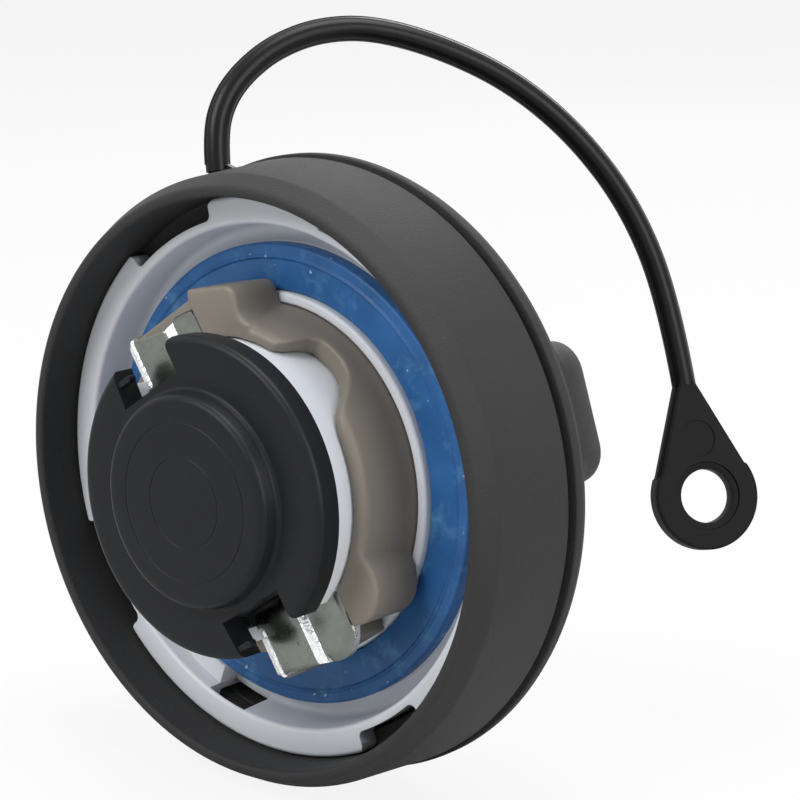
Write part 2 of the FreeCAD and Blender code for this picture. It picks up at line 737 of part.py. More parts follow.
def make_pressure_valve_seal():
    body = new_body("pressure_valve_seal")
    revolve(body, "ring", [
        ("valve_seal_bore", VALVE_FRONT),
        (VALVE_RADIUS, VALVE_FRONT),
        (VALVE_RADIUS, "cage_front - cage_wall"),
        ("valve_seal_bore", "cage_front - cage_wall"),
    ])
    return body


CLIP_FRONT = f"{VALVE_FRONT} - valve_plate - vacuum_spring_length"


def make_vacuum_valve_stem():
    body = new_body("vacuum_valve_stem")
    head = f"{VALVE_FRONT} + vacuum_seal"
    revolve(body, "poppet", [
        ("0", f"{CLIP_FRONT} - clip_thickness"),
        ("vacuum_stem", f"{CLIP_FRONT} - clip_thickness"),
        ("vacuum_stem", head),
        ("vacuum_head_radius", head),
        ("vacuum_head_radius", f"{head} + vacuum_head"),
        ("0", f"{head} + vacuum_head"),
    ])
    return body


def make_vacuum_valve_seal():
    body = new_body("vacuum_valve_seal")
    revolve(body, "washer", [
        ("vacuum_stem", VALVE_FRONT),
        ("vacuum_head_radius", VALVE_FRONT),
        ("vacuum_head_radius", f"{VALVE_FRONT} + vacuum_seal"),
        ("vacuum_stem", f"{VALVE_FRONT} + vacuum_seal"),
    ])
    return body


def make_vacuum_valve_clip():
    body = new_body("vacuum_valve_clip")
    revolve(body, "clip", [
        ("vacuum_stem", f"{CLIP_FRONT} - clip_thickness"),
        ("clip_radius", f"{CLIP_FRONT} - clip_thickness"),
        ("clip_radius", CLIP_FRONT),
        ("vacuum_stem", CLIP_FRONT),
    ])
    return body


# Compression springs

def make_spring(label, radius, wire, turns, low, high):
    """A coil between two depths: short straight runs, mitred, of a six-sided section."""
    length = high - low - wire
    count = round(turns * STEPS_PER_TURN)
    points = []
    for k in range(count + 1):
        angle = math.tau * k / STEPS_PER_TURN
        depth = low + wire / 2 + length * k / count
        points.append(FreeCAD.Vector(radius * math.cos(angle), -depth, radius * math.sin(angle)))
    run = (points[1] - points[0]).normalize()
    outward = FreeCAD.Vector(1, 0, 0)
    outward = (outward - run * outward.dot(run)).normalize()
    across = run.cross(outward)
    corners = []
    for k in range(7):
        angle = math.tau * (k + 0.5) / 6
        reach = outward * math.cos(angle) + across * math.sin(angle)
        corners.append(points[0] + reach * (wire / 2))
    section = Part.makePolygon(corners)
    solid = Part.makePolygon(points).makePipeShell([section], True, False, 1)
    item = doc.addObject("Part::Feature", label)
    item.Label = label
    item.Shape = solid
    return item


# Screws

def make_screw(number, offset):
    body = new_body(f"cover_screw_{number}")
    turn = f"grip_turn + ({offset})"
    seat = "floor_back + floor_thickness"
    head = new_sketch(body, "head_plan", depth=seat, turn=turn)
    circle(head, "screw_head_radius", y=SCREW_CIRCLE)
    pad(body, "head", head, "screw_head")
    shank = new_sketch(body, "shank_plan", depth=f"{seat} - screw_length", turn=turn)
    circle(shank, "screw_radius", y=SCREW_CIRCLE)
    pad(body, "shank", shank, "screw_length")
    return body


# Tether: ring in the groove, moulded strap and eye

def make_tether_ring():
    body = new_body("tether_ring")
    low = "skirt_back - groove_width / 2 - tether_ring_thickness / 2"
    plan = new_sketch(body, "ring_plan", depth=low)
    circle(plan, TETHER_RING_RADIUS)
    circle(plan, f"{SPIGOT_RADIUS} + tether_ring_gap")
    pad(body, "ring", plan, "tether_ring_thickness")
    tongue = new_sketch(body, "tongue_plan", depth=low, turn="tether_turn")
    rectangle(tongue, "-tether_diameter", "tether_diameter",
              f"{TETHER_RING_RADIUS} - tether_tongue_overlap", f"({TETHER_ROOT} + {TETHER_END}) / 2")
    pad(body, "tongue", tongue, "tether_ring_thickness")
    middle = "skirt_back - groove_width / 2"
    root = new_sketch(body, "root_plan", depth=f"{middle} - tether_diameter / 2", turn="tether_turn")
    rectangle(root, "-tether_diameter / 2", "tether_diameter / 2",
              TETHER_ROOT, f"{TETHER_ROOT} + tether_root_block")
    pad(body, "root", root, "tether_diameter")

    # A round stub carries the strap. Its end is square to the strap's first run.
    stub = new_sketch(
        body, "stub_plan", role="XY_Plane",
        depth=f"{TETHER_END} * cos(tether_turn)",
        pitch="-atan(tan(strap_lean) * sin(strap_azimuth))",
        roll="-asin(sin(strap_lean) * cos(strap_azimuth))",
    )
    stub.setExpression("AttachmentOffset.Base.x", bound(f"-{TETHER_END} * sin(tether_turn)"))
    stub.setExpression("AttachmentOffset.Base.y", bound("groove_width / 2 - skirt_back"))
    circle(stub, "tether_diameter / 2")
    pad(body, "stub", stub, "tether_stub", backwards=True)
    return body


# The strap lies in one plane. Its points are given in that plane, from the
# root: first along the plane's level direction, then up its slope.
STRAP_POINTS = [
    (0.0, 0.0),
    (0.0, 4.6),
    (1.6, 9.2),
    (4.6, 12.9),
    (9.2, 16.3),
    (15.6, 18.6),
    (23.4, 18.8),
    (33.5, 15.8),
    (43.6, 10.6),
    (52.6, 2.6),
    (60.0, -8.2),
    (64.4, -21.4),
    (65.8, -34.0),
]


def strap_frame():
    """The root point and the strap plane's level, up and normal directions."""
    turn = math.radians(size("tether_turn"))
    azimuth = math.radians(size("strap_azimuth"))
    lean = math.radians(size("strap_lean"))
    reach = value(TETHER_END)
    root = FreeCAD.Vector(
        -reach * math.sin(turn),
        -size("skirt_back") + size("groove_width") / 2,
        reach * math.cos(turn),
    )
    level = FreeCAD.Vector(math.cos(azimuth), math.sin(azimuth), 0)
    normal = FreeCAD.Vector(
        math.sin(azimuth) * math.cos(lean),
        -math.cos(azimuth) * math.cos(lean),
        math.sin(lean),
    )
    return root, level, normal.cross(level), normal


def strap_route():
    root, level, up, normal = strap_frame()
    return [root + level * along + up * rise for along, rise in STRAP_POINTS]


def make_tether_cord():
    """Straight runs joined by tangent arcs, swept with a round section."""
    points = strap_route()
    edges = []
    radii = []
    previous = points[0]
    for before, corner, after in zip(points, points[1:], points[2:]):
        inward = corner - before
        outward = after - corner
        half_turn = inward.getAngle(outward) / 2
        setback = 0.45 * min(inward.Length, outward.Length)
        radii.append(setback / math.tan(half_turn))
        start = corner - inward.normalize() * setback
        end = corner + outward.normalize() * setback
        bisector = (start + end) * 0.5 - corner
        centre = corner + bisector.normalize() * (radii[-1] / math.cos(half_turn))
        middle = centre + (corner - centre).normalize() * radii[-1]
        edges.append(Part.LineSegment(previous, start).toShape())
        edges.append(Part.Arc(start, middle, end).toShape())
        previous = end
    edges.append(Part.LineSegment(previous, points[-1]).toShape())
    path = Part.Wire(edges)
    radius = size("tether_diameter") / 2
    direction = points[1] - points[0]
    section = Part.Wire(Part.makeCircle(radius, points[0], direction))
    solid = path.makePipeShell([section], True, False)
    expected = math.pi * radius ** 2 * path.Length
    print("strap radii", [round(value, 1) for value in radii])
    print("strap length", round(path.Length, 2), "volume ratio", round(solid.Volume / expected, 4))
    item = doc.addObject("Part::Feature", "tether_cord")
    item.Label = "tether_cord"
    item.Shape = solid
    return item


def make_tether_eye():
    """A flat teardrop plate with a bored hole, its neck on the strap's end."""
    body = new_body("tether_eye")
    plan = new_sketch(body, "plate_plan", role="XY_Plane", depth="-eye_thickness / 2")
    half_neck = "(tether_diameter / 2)"
    slope = "asin((eye_radius - tether_diameter / 2) / eye_length)"
    outline(plan, [
        (f"-{half_neck}", "0"),
        (f"-eye_radius * cos({slope})", f"-eye_length + eye_radius * sin({slope})"),
        (f"eye_radius * cos({slope})", f"-eye_length + eye_radius * sin({slope})"),
        (half_neck, "0"),
    ])
    pad(body, "taper", plan, "eye_thickness")
    disc = new_sketch(body, "disc_plan", role="XY_Plane", depth="-eye_thickness / 2")
    circle(disc, "eye_radius", y="-eye_length")
    pad(body, "plate", disc, "eye_thickness")
    bore = new_sketch(body, "bore_plan", role="XY_Plane", depth="-eye_thickness / 2 - 1")
    circle(bore, "eye_bore", y="-eye_length")
    pocket(body, "bore", bore, "eye_thickness + 2")
    root, level, up, normal = strap_frame()
    points = strap_route()
    along = (points[-1] - points[-2]).normalize()
    body.Placement = FreeCAD.Placement(
        points[-1],
        FreeCAD.Rotation(normal.cross(along), along * -1, normal, "ZYX"),
    )
    return body


def build():
    nodes = [
        make_inner_body(),
        make_seal_ring(),
        make_guide_ring(),
        make_end_plug(),
        make_cover_disc(),
        make_skirt_ring(),
        make_valve_cage(),
        make_bayonet_yoke(),
        make_pressure_valve_plate(),
        make_pressure_valve_seal(),
        make_vacuum_valve_stem(),
        make_vacuum_valve_seal(),
        make_vacuum_valve_clip(),
        make_tether_ring(),
        make_tether_cord(),
        make_tether_eye(),
    ]
    nodes += [make_screw(number, offset) for number, offset in enumerate(SCREW_OFFSETS, start=1)]
    floor = size("floor_back") + size("floor_thickness")
    plate_back = size("cage_front") - size("cage_wall") - size("valve_seal") - size("valve_plate")
    nodes.append(make_spring(
        "main_spring", value(MAIN_SPRING_RADIUS), size("main_spring_wire"), size("main_spring_turns"),
        size("yoke_seat") + size("yoke_sheet"), size("neck_front") + size("spring_recess"),
    ))
    nodes.append(make_spring(
        "pressure_valve_spring", size("valve_spring_radius"), size("valve_spring_wire"),
        size("valve_spring_turns"), floor, plate_back,
    ))
    nodes.append(make_spring(
        "vacuum_valve_spring", size("vacuum_spring_radius"), size("vacuum_spring_wire"),
        size("vacuum_spring_turns"), plate_back - size("vacuum_spring_length"), plate_back,
    ))
    return nodes


def check(nodes):
    doc.recompute()
    for item in doc.Objects:
        if "Invalid" in item.State or "Error" in item.State:
            raise RuntimeError(f"{item.Label} failed: {item.State}")
    for node in nodes:
        if node.Shape.isNull() or not node.Shape.isValid():
            raise RuntimeError(f"{node.Label} has no valid shape")
        if node.Shape.Volume <= 0:
            raise RuntimeError(f"{node.Label} has no volume")


def write(nodes):
    os.makedirs("parts", exist_ok=True)
    for node in nodes:
        node.Shape.exportStep(f"parts/{node.Label}.step")
        print(node.Label, len(node.Shape.Solids), "solid", round(node.Shape.Volume, 1))


parts = build()
check(parts)
write(parts)
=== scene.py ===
# %% [markdown]
# # A fuel filler cap with its tether
# The cap is seen from the tank side: a black skirt, a white inner body with a blue seal, a tan guide
# ring, two plated lugs and a black end plug. A glossy tether loops over it to a flat eye.
# We load the measured model first. Everything we add is in metres and sits where that model says.

# %% Load the measured model
import bpy
import bmesh
import math
from mathutils import Matrix, Vector


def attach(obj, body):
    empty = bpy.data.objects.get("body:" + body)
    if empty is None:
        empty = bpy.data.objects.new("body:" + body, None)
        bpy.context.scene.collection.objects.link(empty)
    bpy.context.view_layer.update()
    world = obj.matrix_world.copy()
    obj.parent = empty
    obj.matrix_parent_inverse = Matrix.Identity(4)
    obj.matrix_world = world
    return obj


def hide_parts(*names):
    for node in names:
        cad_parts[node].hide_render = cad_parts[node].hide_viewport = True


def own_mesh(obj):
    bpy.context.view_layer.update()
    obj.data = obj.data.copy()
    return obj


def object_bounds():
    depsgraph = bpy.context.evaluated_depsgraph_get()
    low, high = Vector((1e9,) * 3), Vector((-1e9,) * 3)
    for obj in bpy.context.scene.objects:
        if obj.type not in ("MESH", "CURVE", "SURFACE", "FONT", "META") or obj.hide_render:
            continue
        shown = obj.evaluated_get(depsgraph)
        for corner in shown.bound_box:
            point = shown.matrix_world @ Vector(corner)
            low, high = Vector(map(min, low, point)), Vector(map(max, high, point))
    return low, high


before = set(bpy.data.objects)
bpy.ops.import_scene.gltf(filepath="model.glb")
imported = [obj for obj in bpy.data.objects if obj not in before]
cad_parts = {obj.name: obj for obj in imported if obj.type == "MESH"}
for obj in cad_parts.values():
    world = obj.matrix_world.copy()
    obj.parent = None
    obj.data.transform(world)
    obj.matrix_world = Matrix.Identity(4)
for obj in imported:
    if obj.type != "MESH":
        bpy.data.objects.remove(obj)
cad_box = [list(corner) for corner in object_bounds()]
MM = 0.001


# %% [markdown]
# ## Camera
# The photograph's ellipses fix the camera: a long lens, from the tank side, a little above the cap.
# The view is plain: no shift and no depth of field.

# %% Camera
def put(data, name):
    """A new object of that name, in the scene."""
    piece = bpy.data.objects.new(name, data)
    bpy.context.scene.collection.objects.link(piece)
    return piece


def look_from(position, direction, lens):
    data = bpy.data.cameras.new("camera")
    data.lens = lens
    data.sensor_width = 36
    data.clip_start = 0.01
    camera = put(data, "camera")
    camera.location = Vector(position) * MM
    camera.rotation_euler = Vector(direction).to_track_quat("-Z", "Y").to_euler()
    bpy.context.scene.camera = camera
    return camera


camera = look_from((214.5, -232.1, 78.5), (-0.6275, 0.7495, -0.2109), 109.1)
print("camera at", [round(value, 4) for value in camera.location])


# %% [markdown]
# ## Tools for turned shapes
# Most pieces of a cap are turned: one profile swept round the axis. We write a profile as corners of
# (radius, depth, rounding) in millimetres. Depth runs towards the tank, so it is minus Y. Rounding a
# corner in the profile gives a clean edge that catches the light, which a sharp mesh never does.

# %% Round the corners of a profile
def rounded(corners, steps=5):
    points = []
    count = len(corners)
    for k in range(count):
        r, t, radius = corners[k]
        here = Vector((r, t))
        if radius == 0:
            points.append(here)
            continue
        back = (Vector(corners[k - 1][:2]) - here)
        ahead = (Vector(corners[(k + 1) % count][:2]) - here)
        angle = back.angle(ahead)
        reach = min(radius / math.tan(angle / 2), 0.48 * back.length, 0.48 * ahead.length)
        radius = reach * math.tan(angle / 2)
        back.normalize()
        ahead.normalize()
        centre = here + (back + ahead).normalized() * (radius / math.sin(angle / 2))
        start = here + back * reach - centre
        sweep = start.angle_signed(here + ahead * reach - centre)
        for step in range(steps + 1):
            part = -sweep * step / steps
            turned_by = Matrix.Rotation(part, 2)
            points.append(centre + turned_by @ start)
    return points


# %% Small helpers for meshes
def tidy_faces(mesh, merge=0.00001):
    """Merges doubles, drops loose edges and points every face outwards."""
    work = bmesh.new()
    work.from_mesh(mesh)
    bmesh.ops.remove_doubles(work, verts=work.verts, dist=merge)
    loose = [edge for edge in work.edges if not edge.link_faces]
    bmesh.ops.delete(work, geom=loose, context="EDGES")
    bmesh.ops.recalc_face_normals(work, faces=work.faces)
    work.to_mesh(mesh)
    work.free()


def settle(piece):
    """Turns a piece with its modifiers into a plain mesh."""
    graph = bpy.context.evaluated_depsgraph_get()
    mesh = bpy.data.meshes.new_from_object(piece.evaluated_get(graph))
    piece.modifiers.clear()
    piece.data = mesh
    mesh.name = piece.name
    return piece


# %% [markdown]
# ## A lathe of Geometry Nodes
# A lathe follows a rule, so a node tree does it: the profile's line of edges becomes a curve, a
# circle is the path, and Curve to Mesh sweeps one along the other. The profile is drawn as seen from
# the path's own radius. The tree's inputs are named, and each value is set by its socket's identifier.

# %% Build the lathe tree
def new_tree(name, inputs):
    """A Geometry Nodes tree with the given (name, type) inputs besides its geometry."""
    tree = bpy.data.node_groups.new(name, "GeometryNodeTree")
    tree.interface.new_socket("Geometry", in_out="INPUT", socket_type="NodeSocketGeometry")
    for label, kind in inputs:
        tree.interface.new_socket(label, in_out="INPUT", socket_type=kind)
    tree.interface.new_socket("Geometry", in_out="OUTPUT", socket_type="NodeSocketGeometry")
    return tree, tree.nodes.new("NodeGroupInput"), tree.nodes.new("NodeGroupOutput")


def finish_tree(tree, start, end, geometry):
    """Ends a tree with real geometry that has its material."""
    real = tree.nodes.new("GeometryNodeRealizeInstances")
    dress = tree.nodes.new("GeometryNodeSetMaterial")
    tree.links.new(geometry, real.inputs["Geometry"])
    tree.links.new(real.outputs["Geometry"], dress.inputs["Geometry"])
    tree.links.new(start.outputs["Material"], dress.inputs["Material"])
    tree.links.new(dress.outputs["Geometry"], end.inputs["Geometry"])


def grow(piece, tree, **values):
    """Runs a tree on a piece with its named inputs set, and keeps the result as a plain mesh."""
    step = piece.modifiers.new(tree.name, "NODES")
    step.node_group = tree
    for socket in tree.interface.items_tree:
        label = socket.name.lower().replace(" ", "_")
        if socket.in_out == "INPUT" and label in values:
            step[socket.identifier] = values[label]
    return settle(piece)


def lathe_tree():
    inputs = [("Segments", "NodeSocketInt"), ("Path Radius", "NodeSocketFloat"),
              ("Material", "NodeSocketMaterial")]
    tree, start, end = new_tree("lathe", inputs)
    outline = tree.nodes.new("GeometryNodeMeshToCurve")
    path = tree.nodes.new("GeometryNodeCurvePrimitiveCircle")
    sweep = tree.nodes.new("GeometryNodeCurveToMesh")
    stand = tree.nodes.new("GeometryNodeTransform")
    stand.inputs["Rotation"].default_value = (-math.pi / 2, 0, 0)
    tree.links.new(start.outputs["Geometry"], outline.inputs["Mesh"])
    tree.links.new(start.outputs["Segments"], path.inputs["Resolution"])
    tree.links.new(start.outputs["Path Radius"], path.inputs["Radius"])
    tree.links.new(path.outputs["Curve"], sweep.inputs["Curve"])
    tree.links.new(outline.outputs["Curve"], sweep.inputs["Profile Curve"])
    tree.links.new(sweep.outputs["Mesh"], stand.inputs["Geometry"])
    finish_tree(tree, start, end, stand.outputs["Geometry"])
    return tree


LATHE = lathe_tree()


def turned(name, corners, segments=192, steps=5, material=None):
    """A closed ring or disc from a profile of (radius, depth, rounding) corners."""
    path_radius = 10.0
    profile = rounded(corners, steps)
    mesh = bpy.data.meshes.new(name)
    verts = [((point.x - path_radius) * MM, point.y * MM, 0) for point in profile]
    mesh.from_pydata(verts, [(i, (i + 1) % len(verts)) for i in range(len(verts))], [])
    piece = grow(put(mesh, name), LATHE, segments=segments, path_radius=path_radius * MM,
                 material=material)
    tidy_faces(piece.data)
    return piece


print("lathe tree with", len(LATHE.nodes), "nodes")


# %% [markdown]
# ## Tools for straight shapes, cuts and edges
# Notches, pads and windows are straight-sided, so we extrude a flat outline along the axis. A turn
# places it round the axis, in degrees anticlockwise from the top, seen from the tank.

# %% Extrude an outline along the axis
def capped(name, first, second):
    """A closed solid between two outlines that have the same number of points, in metres."""
    count = len(first)
    faces = [tuple(range(count)), tuple(range(2 * count - 1, count - 1, -1))]
    faces += [(i, i + count, (i + 1) % count + count, (i + 1) % count) for i in range(count)]
    mesh = bpy.data.meshes.new(name)
    mesh.from_pydata(first + second, [], faces)
    tidy_faces(mesh)
    return put(mesh, name)


def prism(name, outline, low, high, turn=0.0):
    """A block with outline points (across, out) in millimetres, between two depths."""
    angle = math.radians(turn)
    ends = []
    for depth in (low, high):
        ends.append([((u * math.cos(angle) - v * math.sin(angle)) * MM, -depth * MM,
                      (u * math.sin(angle) + v * math.cos(angle)) * MM) for u, v in outline])
    return capped(name, *ends)


def block(name, left, right, inner, outer, low, high, turn):
    return prism(name, [(left, inner), (right, inner), (right, outer), (left, outer)], low, high, turn)


def arc(centre, radius, first, last, steps=6):
    """Points round a centre, from one angle to another in degrees."""
    points = []
    for step in range(steps + 1):
        angle = math.radians(first + (last - first) * step / steps)
        points.append((centre[0] + radius * math.cos(angle),
                       centre[1] + radius * math.sin(angle)))
    return points


# %% Join, cut and finish a mesh
def combine(piece, others, how):
    for other in others:
        step = piece.modifiers.new(how, "BOOLEAN")
        step.operation = how
        step.solver = "EXACT"
        step.object = other
        settle(piece)
        bpy.data.objects.remove(other)
    return piece


def soften(piece, width, angle=35, segments=3):
    """Rounds the hard edges that a cut leaves."""
    step = piece.modifiers.new("soften", "BEVEL")
    step.width = width * MM
    step.segments = segments
    step.limit_method = "ANGLE"
    step.angle_limit = math.radians(angle)
    step.use_clamp_overlap = True
    step.harden_normals = False
    return settle(piece)


def melt(piece, voxel, rounds):
    """Remeshes a piece finely and smooths it, so that every edge is as soft as a moulding's."""
    remesh = piece.modifiers.new("remesh", "REMESH")
    remesh.mode = "VOXEL"
    remesh.voxel_size = voxel * MM
    settle(piece)
    smooth = piece.modifiers.new("smooth", "SMOOTH")
    smooth.factor = 0.5
    smooth.iterations = rounds
    settle(piece)
    piece.data.shade_smooth()
    return piece


def shade(piece, angle=40):
    piece.data.shade_smooth()
    piece.data.set_sharp_from_angle(angle=math.radians(angle))
    return piece


# %% [markdown]
# ## Finishes
# Every finish is a small node tree on object coordinates, so its pattern is fixed to the piece. The
# steady values sit on the shader's own sockets. Noise varies the colour and roughness a little, and
# a bump gives the grain of the mould.

# %% Helpers for node trees
def fill(node, **values):
    """Sets a node's sockets by name, with _ for a space."""
    for name, value in values.items():
        node.inputs[name.replace("_", " ")].default_value = value


def noise(tree, place, scale, detail=3.0, rough=0.5):
    node = tree.nodes.new("ShaderNodeTexNoise")
    fill(node, Scale=scale, Detail=detail, Roughness=rough)
    tree.links.new(place, node.inputs["Vector"])
    return node.outputs["Fac"]


def spread(tree, source, low, high, from_low=0.0, from_high=1.0):
    """Maps a pattern from one range to another."""
    node = tree.nodes.new("ShaderNodeMapRange")
    fill(node, From_Min=from_low, From_Max=from_high, To_Min=low, To_Max=high)
    tree.links.new(source, node.inputs["Value"])
    return node.outputs["Result"]


def mixed(tree, factor, first, second):
    """Mixes two colours, or a colour and a colour socket, by a pattern."""
    node = tree.nodes.new("ShaderNodeMix")
    node.data_type = "RGBA"
    tree.links.new(factor, node.inputs["Factor"])
    for name, colour in (("A", first), ("B", second)):
        if isinstance(colour, tuple):
            node.inputs[name].default_value = (*colour, 1)
        else:
            tree.links.new(colour, node.inputs[name])
    return node.outputs["Result"]


def bump(tree, height, strength, distance, under=None):
    node = tree.nodes.new("ShaderNodeBump")
    fill(node, Strength=strength, Distance=distance)
    tree.links.new(height, node.inputs["Height"])
    if under is not None:
        tree.links.new(under, node.inputs["Normal"])
    return node.outputs["Normal"]


def dimmed(colour, by):
    return tuple(min(1.0, value * by) for value in colour)


def new_finish(name):
    material = bpy.data.materials.new(name)
    material.use_nodes = True
    tree = material.node_tree
    place = tree.nodes.new("ShaderNodeTexCoord").outputs["Object"]
    return material, tree, tree.nodes["Principled BSDF"], place


# %% Moulded plastics
def moulded(name, colour, rough, grain, grain_depth, mottle=0.10, specular=0.5, wear=0.0,
            skin=0.0):
    """A plastic: a faint mottle, a fine mould grain in mm, worn specks, and light under the skin."""
    material, tree, shader, place = new_finish(name)
    cloud = noise(tree, place, 90, 5)
    tint = mixed(tree, cloud, dimmed(colour, 1 - mottle), dimmed(colour, 1 + mottle))
    gloss = spread(tree, cloud, rough - 0.06, rough + 0.06)
    if wear > 0:
        specks = spread(tree, noise(tree, place, 1500, 2, 0.7), 0.0, wear, 0.68, 0.72)
        tint = mixed(tree, specks, tint, dimmed(colour, 4.0))
    tree.links.new(tint, shader.inputs["Base Color"])
    tree.links.new(gloss, shader.inputs["Roughness"])
    wide = bump(tree, noise(tree, place, 160, 3), 0.10, 0.0003)
    fine = bump(tree, noise(tree, place, 1000 / grain, 2), grain_depth, 0.0002, wide)
    tree.links.new(fine, shader.inputs["Normal"])
    fill(shader, Specular_IOR_Level=specular, Subsurface_Weight=skin, Subsurface_Scale=0.0012,
         Subsurface_Radius=(1.0, 1.0, 1.1))
    return material


black_grained = moulded("black_grained_plastic", (0.032, 0.032, 0.0325), 0.55, 0.30, 0.45,
                        specular=0.12, wear=0.10)
black_smooth = moulded("black_smooth_plastic", (0.010, 0.0105, 0.0118), 0.38, 0.5, 0.08,
                       specular=0.14, wear=0.30)
white_glossy = moulded("white_plastic", (0.66, 0.68, 0.72), 0.32, 1.2, 0.05, mottle=0.03,
                       specular=0.3, skin=0.2)
tan_plastic = moulded("tan_plastic", (0.203, 0.180, 0.151), 0.42, 0.7, 0.12, mottle=0.05,
                      specular=0.25, wear=0.03)
tether_gloss = moulded("tether_gloss", (0.005, 0.005, 0.0054), 0.30, 1.5, 0.05, specular=0.16)
eye_satin = moulded("eye_satin", (0.0065, 0.0065, 0.007), 0.52, 1.5, 0.05, specular=0.09)
valve_plastic = moulded("valve_plastic", (0.50, 0.50, 0.46), 0.4, 0.8, 0.1)
valve_rubber = moulded("valve_rubber", (0.02, 0.02, 0.02), 0.6, 0.5, 0.2)
print("plastics made")


# %% [markdown]
# The seal is blue rubber that has been handled: paler rubbed patches, a few pale specks and very fine
# scratches. Stretched noise makes the scratches, and a narrow band of a noise's values the specks.

# %% Blue rubber
def rubber(name, colour, rubbed):
    material, tree, shader, place = new_finish(name)
    cloud = noise(tree, place, 120, 6, 0.6)
    tint = mixed(tree, cloud, dimmed(colour, 0.50), dimmed(colour, 1.45))
    patches = spread(tree, noise(tree, place, 210, 7, 0.7), 0.0, 0.75, 0.53, 0.70)
    tint = mixed(tree, patches, tint, rubbed)
    specks = spread(tree, noise(tree, place, 900, 1), 0.0, 0.8, 0.735, 0.76)
    tint = mixed(tree, specks, tint, (0.45, 0.55, 0.68))
    tree.links.new(tint, shader.inputs["Base Color"])
    tree.links.new(spread(tree, cloud, 0.32, 0.55), shader.inputs["Roughness"])
    stretch = tree.nodes.new("ShaderNodeMapping")
    fill(stretch, Scale=(1, 1, 0.12), Rotation=(0, math.radians(35), 0))
    tree.links.new(place, stretch.inputs["Vector"])
    scratches = noise(tree, stretch.outputs["Vector"], 2600, 2)
    wide = bump(tree, noise(tree, place, 260, 4), 0.25, 0.0003)
    tree.links.new(bump(tree, scratches, 0.12, 0.0001, wide), shader.inputs["Normal"])
    fill(shader, Specular_IOR_Level=0.3)
    return material


blue_seal = rubber("blue_seal_rubber", (0.022, 0.110, 0.300), (0.085, 0.240, 0.440))
print("rubber made")


# %% [markdown]
# The yoke is sheet steel with a thin plating of zinc: mottled, greenish grey faces with small pits.
# Where the press sheared the sheet, its edges are bright and streaked. The mesh marks the sheared
# faces with a second material, which needs no painted mask.

# %% Plated and bright steel
def steel(name, colour, rough, mottle=0.2, pits=0.0, streaks=0.0):
    material, tree, shader, place = new_finish(name)
    fill(shader, Metallic=1.0)
    cloud = noise(tree, place, 260, 6, 0.65)
    tint = mixed(tree, cloud, dimmed(colour, 1 - mottle), dimmed(colour, 1 + mottle))
    normal = bump(tree, cloud, 0.18, 0.0002)
    if pits > 0:
        dots = spread(tree, noise(tree, place, 1300, 1), 0.0, pits, 0.72, 0.75)
        tint = mixed(tree, dots, tint, dimmed(colour, 0.2))
    if streaks > 0:
        along = tree.nodes.new("ShaderNodeMapping")
        fill(along, Scale=(1, 0.15, 1))
        tree.links.new(place, along.inputs["Vector"])
        normal = bump(tree, noise(tree, along.outputs["Vector"], 2200, 3), streaks, 0.0002, normal)
    tree.links.new(tint, shader.inputs["Base Color"])
    tree.links.new(spread(tree, cloud, rough - 0.08, rough + 0.12), shader.inputs["Roughness"])
    tree.links.new(normal, shader.inputs["Normal"])
    return material


zinc_steel = steel("zinc_plated_steel", (0.19, 0.203, 0.181), 0.26, mottle=0.45, pits=0.8)
sheared_steel = steel("sheared_steel", (0.80, 0.81, 0.82), 0.26, mottle=0.2, streaks=0.9)
spring_steel = steel("spring_steel", (0.55, 0.55, 0.54), 0.25)
screw_steel = steel("screw_steel", (0.62, 0.60, 0.52), 0.3)
print("steels made")


# %% [markdown]
# A finished piece gets its material and is tied to its body, and the measured nodes that it stands
# for are hidden.

# %% Helpers that dress a piece
def paint(piece, *materials):
    piece.data.materials.clear()
    for material in materials:
        piece.data.materials.append(material)
    return piece


def belongs(piece, body, slot, *nodes):
    """Ties a finished piece to its body and hides the measured nodes it stands for. The slot is not
    used.
    """
    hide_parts(*nodes)
    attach(piece, body)
    return piece


# %% [markdown]
# ## The tether
# The strap is one stiff moulding. It leaves the groove behind the skirt, loops over the cap and comes
# down to its eye. Its route is a short list of points, the same as the measured model's, and a smooth
# spline goes near them.

# %% Strap route and strap
ROOT_TURN, ROOT_RADIUS, ROOT_DEPTH = 25.5, 44.0, -7.55
STRAP_RADIUS = 1.65
AZIMUTH, LEAN = math.radians(54.8), math.radians(15.9)
strap_root = Vector((-ROOT_RADIUS * math.sin(math.radians(ROOT_TURN)), -ROOT_DEPTH,
                     ROOT_RADIUS * math.cos(math.radians(ROOT_TURN)))) * MM
strap_level = Vector((math.cos(AZIMUTH), math.sin(AZIMUTH), 0))
strap_normal = Vector((math.sin(AZIMUTH) * math.cos(LEAN), -math.cos(AZIMUTH) * math.cos(LEAN),
                       math.sin(LEAN)))
strap_up = strap_normal.cross(strap_level)
STRAP = [(0.0, 0.0), (0.0, 4.6), (1.6, 9.2), (4.6, 12.9), (9.2, 16.3), (15.6, 18.6), (23.4, 18.8),
         (33.5, 15.8), (43.6, 10.6), (52.6, 2.6), (60.0, -8.2), (64.4, -21.4), (65.8, -34.0)]
route = [strap_root + (strap_level * along + strap_up * rise) * MM for along, rise in STRAP]

curve = bpy.data.curves.new("tether_strap", "CURVE")
curve.dimensions = "3D"
spline = curve.splines.new("NURBS")
spline.points.add(len(route) - 1)
for point, where in zip(spline.points, route):
    point.co = (*where, 1)
spline.order_u = 3
spline.use_endpoint_u = True
curve.resolution_u = 16
curve.bevel_depth = STRAP_RADIUS * MM
curve.bevel_resolution = 6
curve.use_fill_caps = True
strap = put(curve, "tether_strap")
curve.materials.append(tether_gloss)
strap_length = sum((b - a).length for a, b in zip(route, route[1:]))
print("strap runs add up to", round(strap_length, 4))


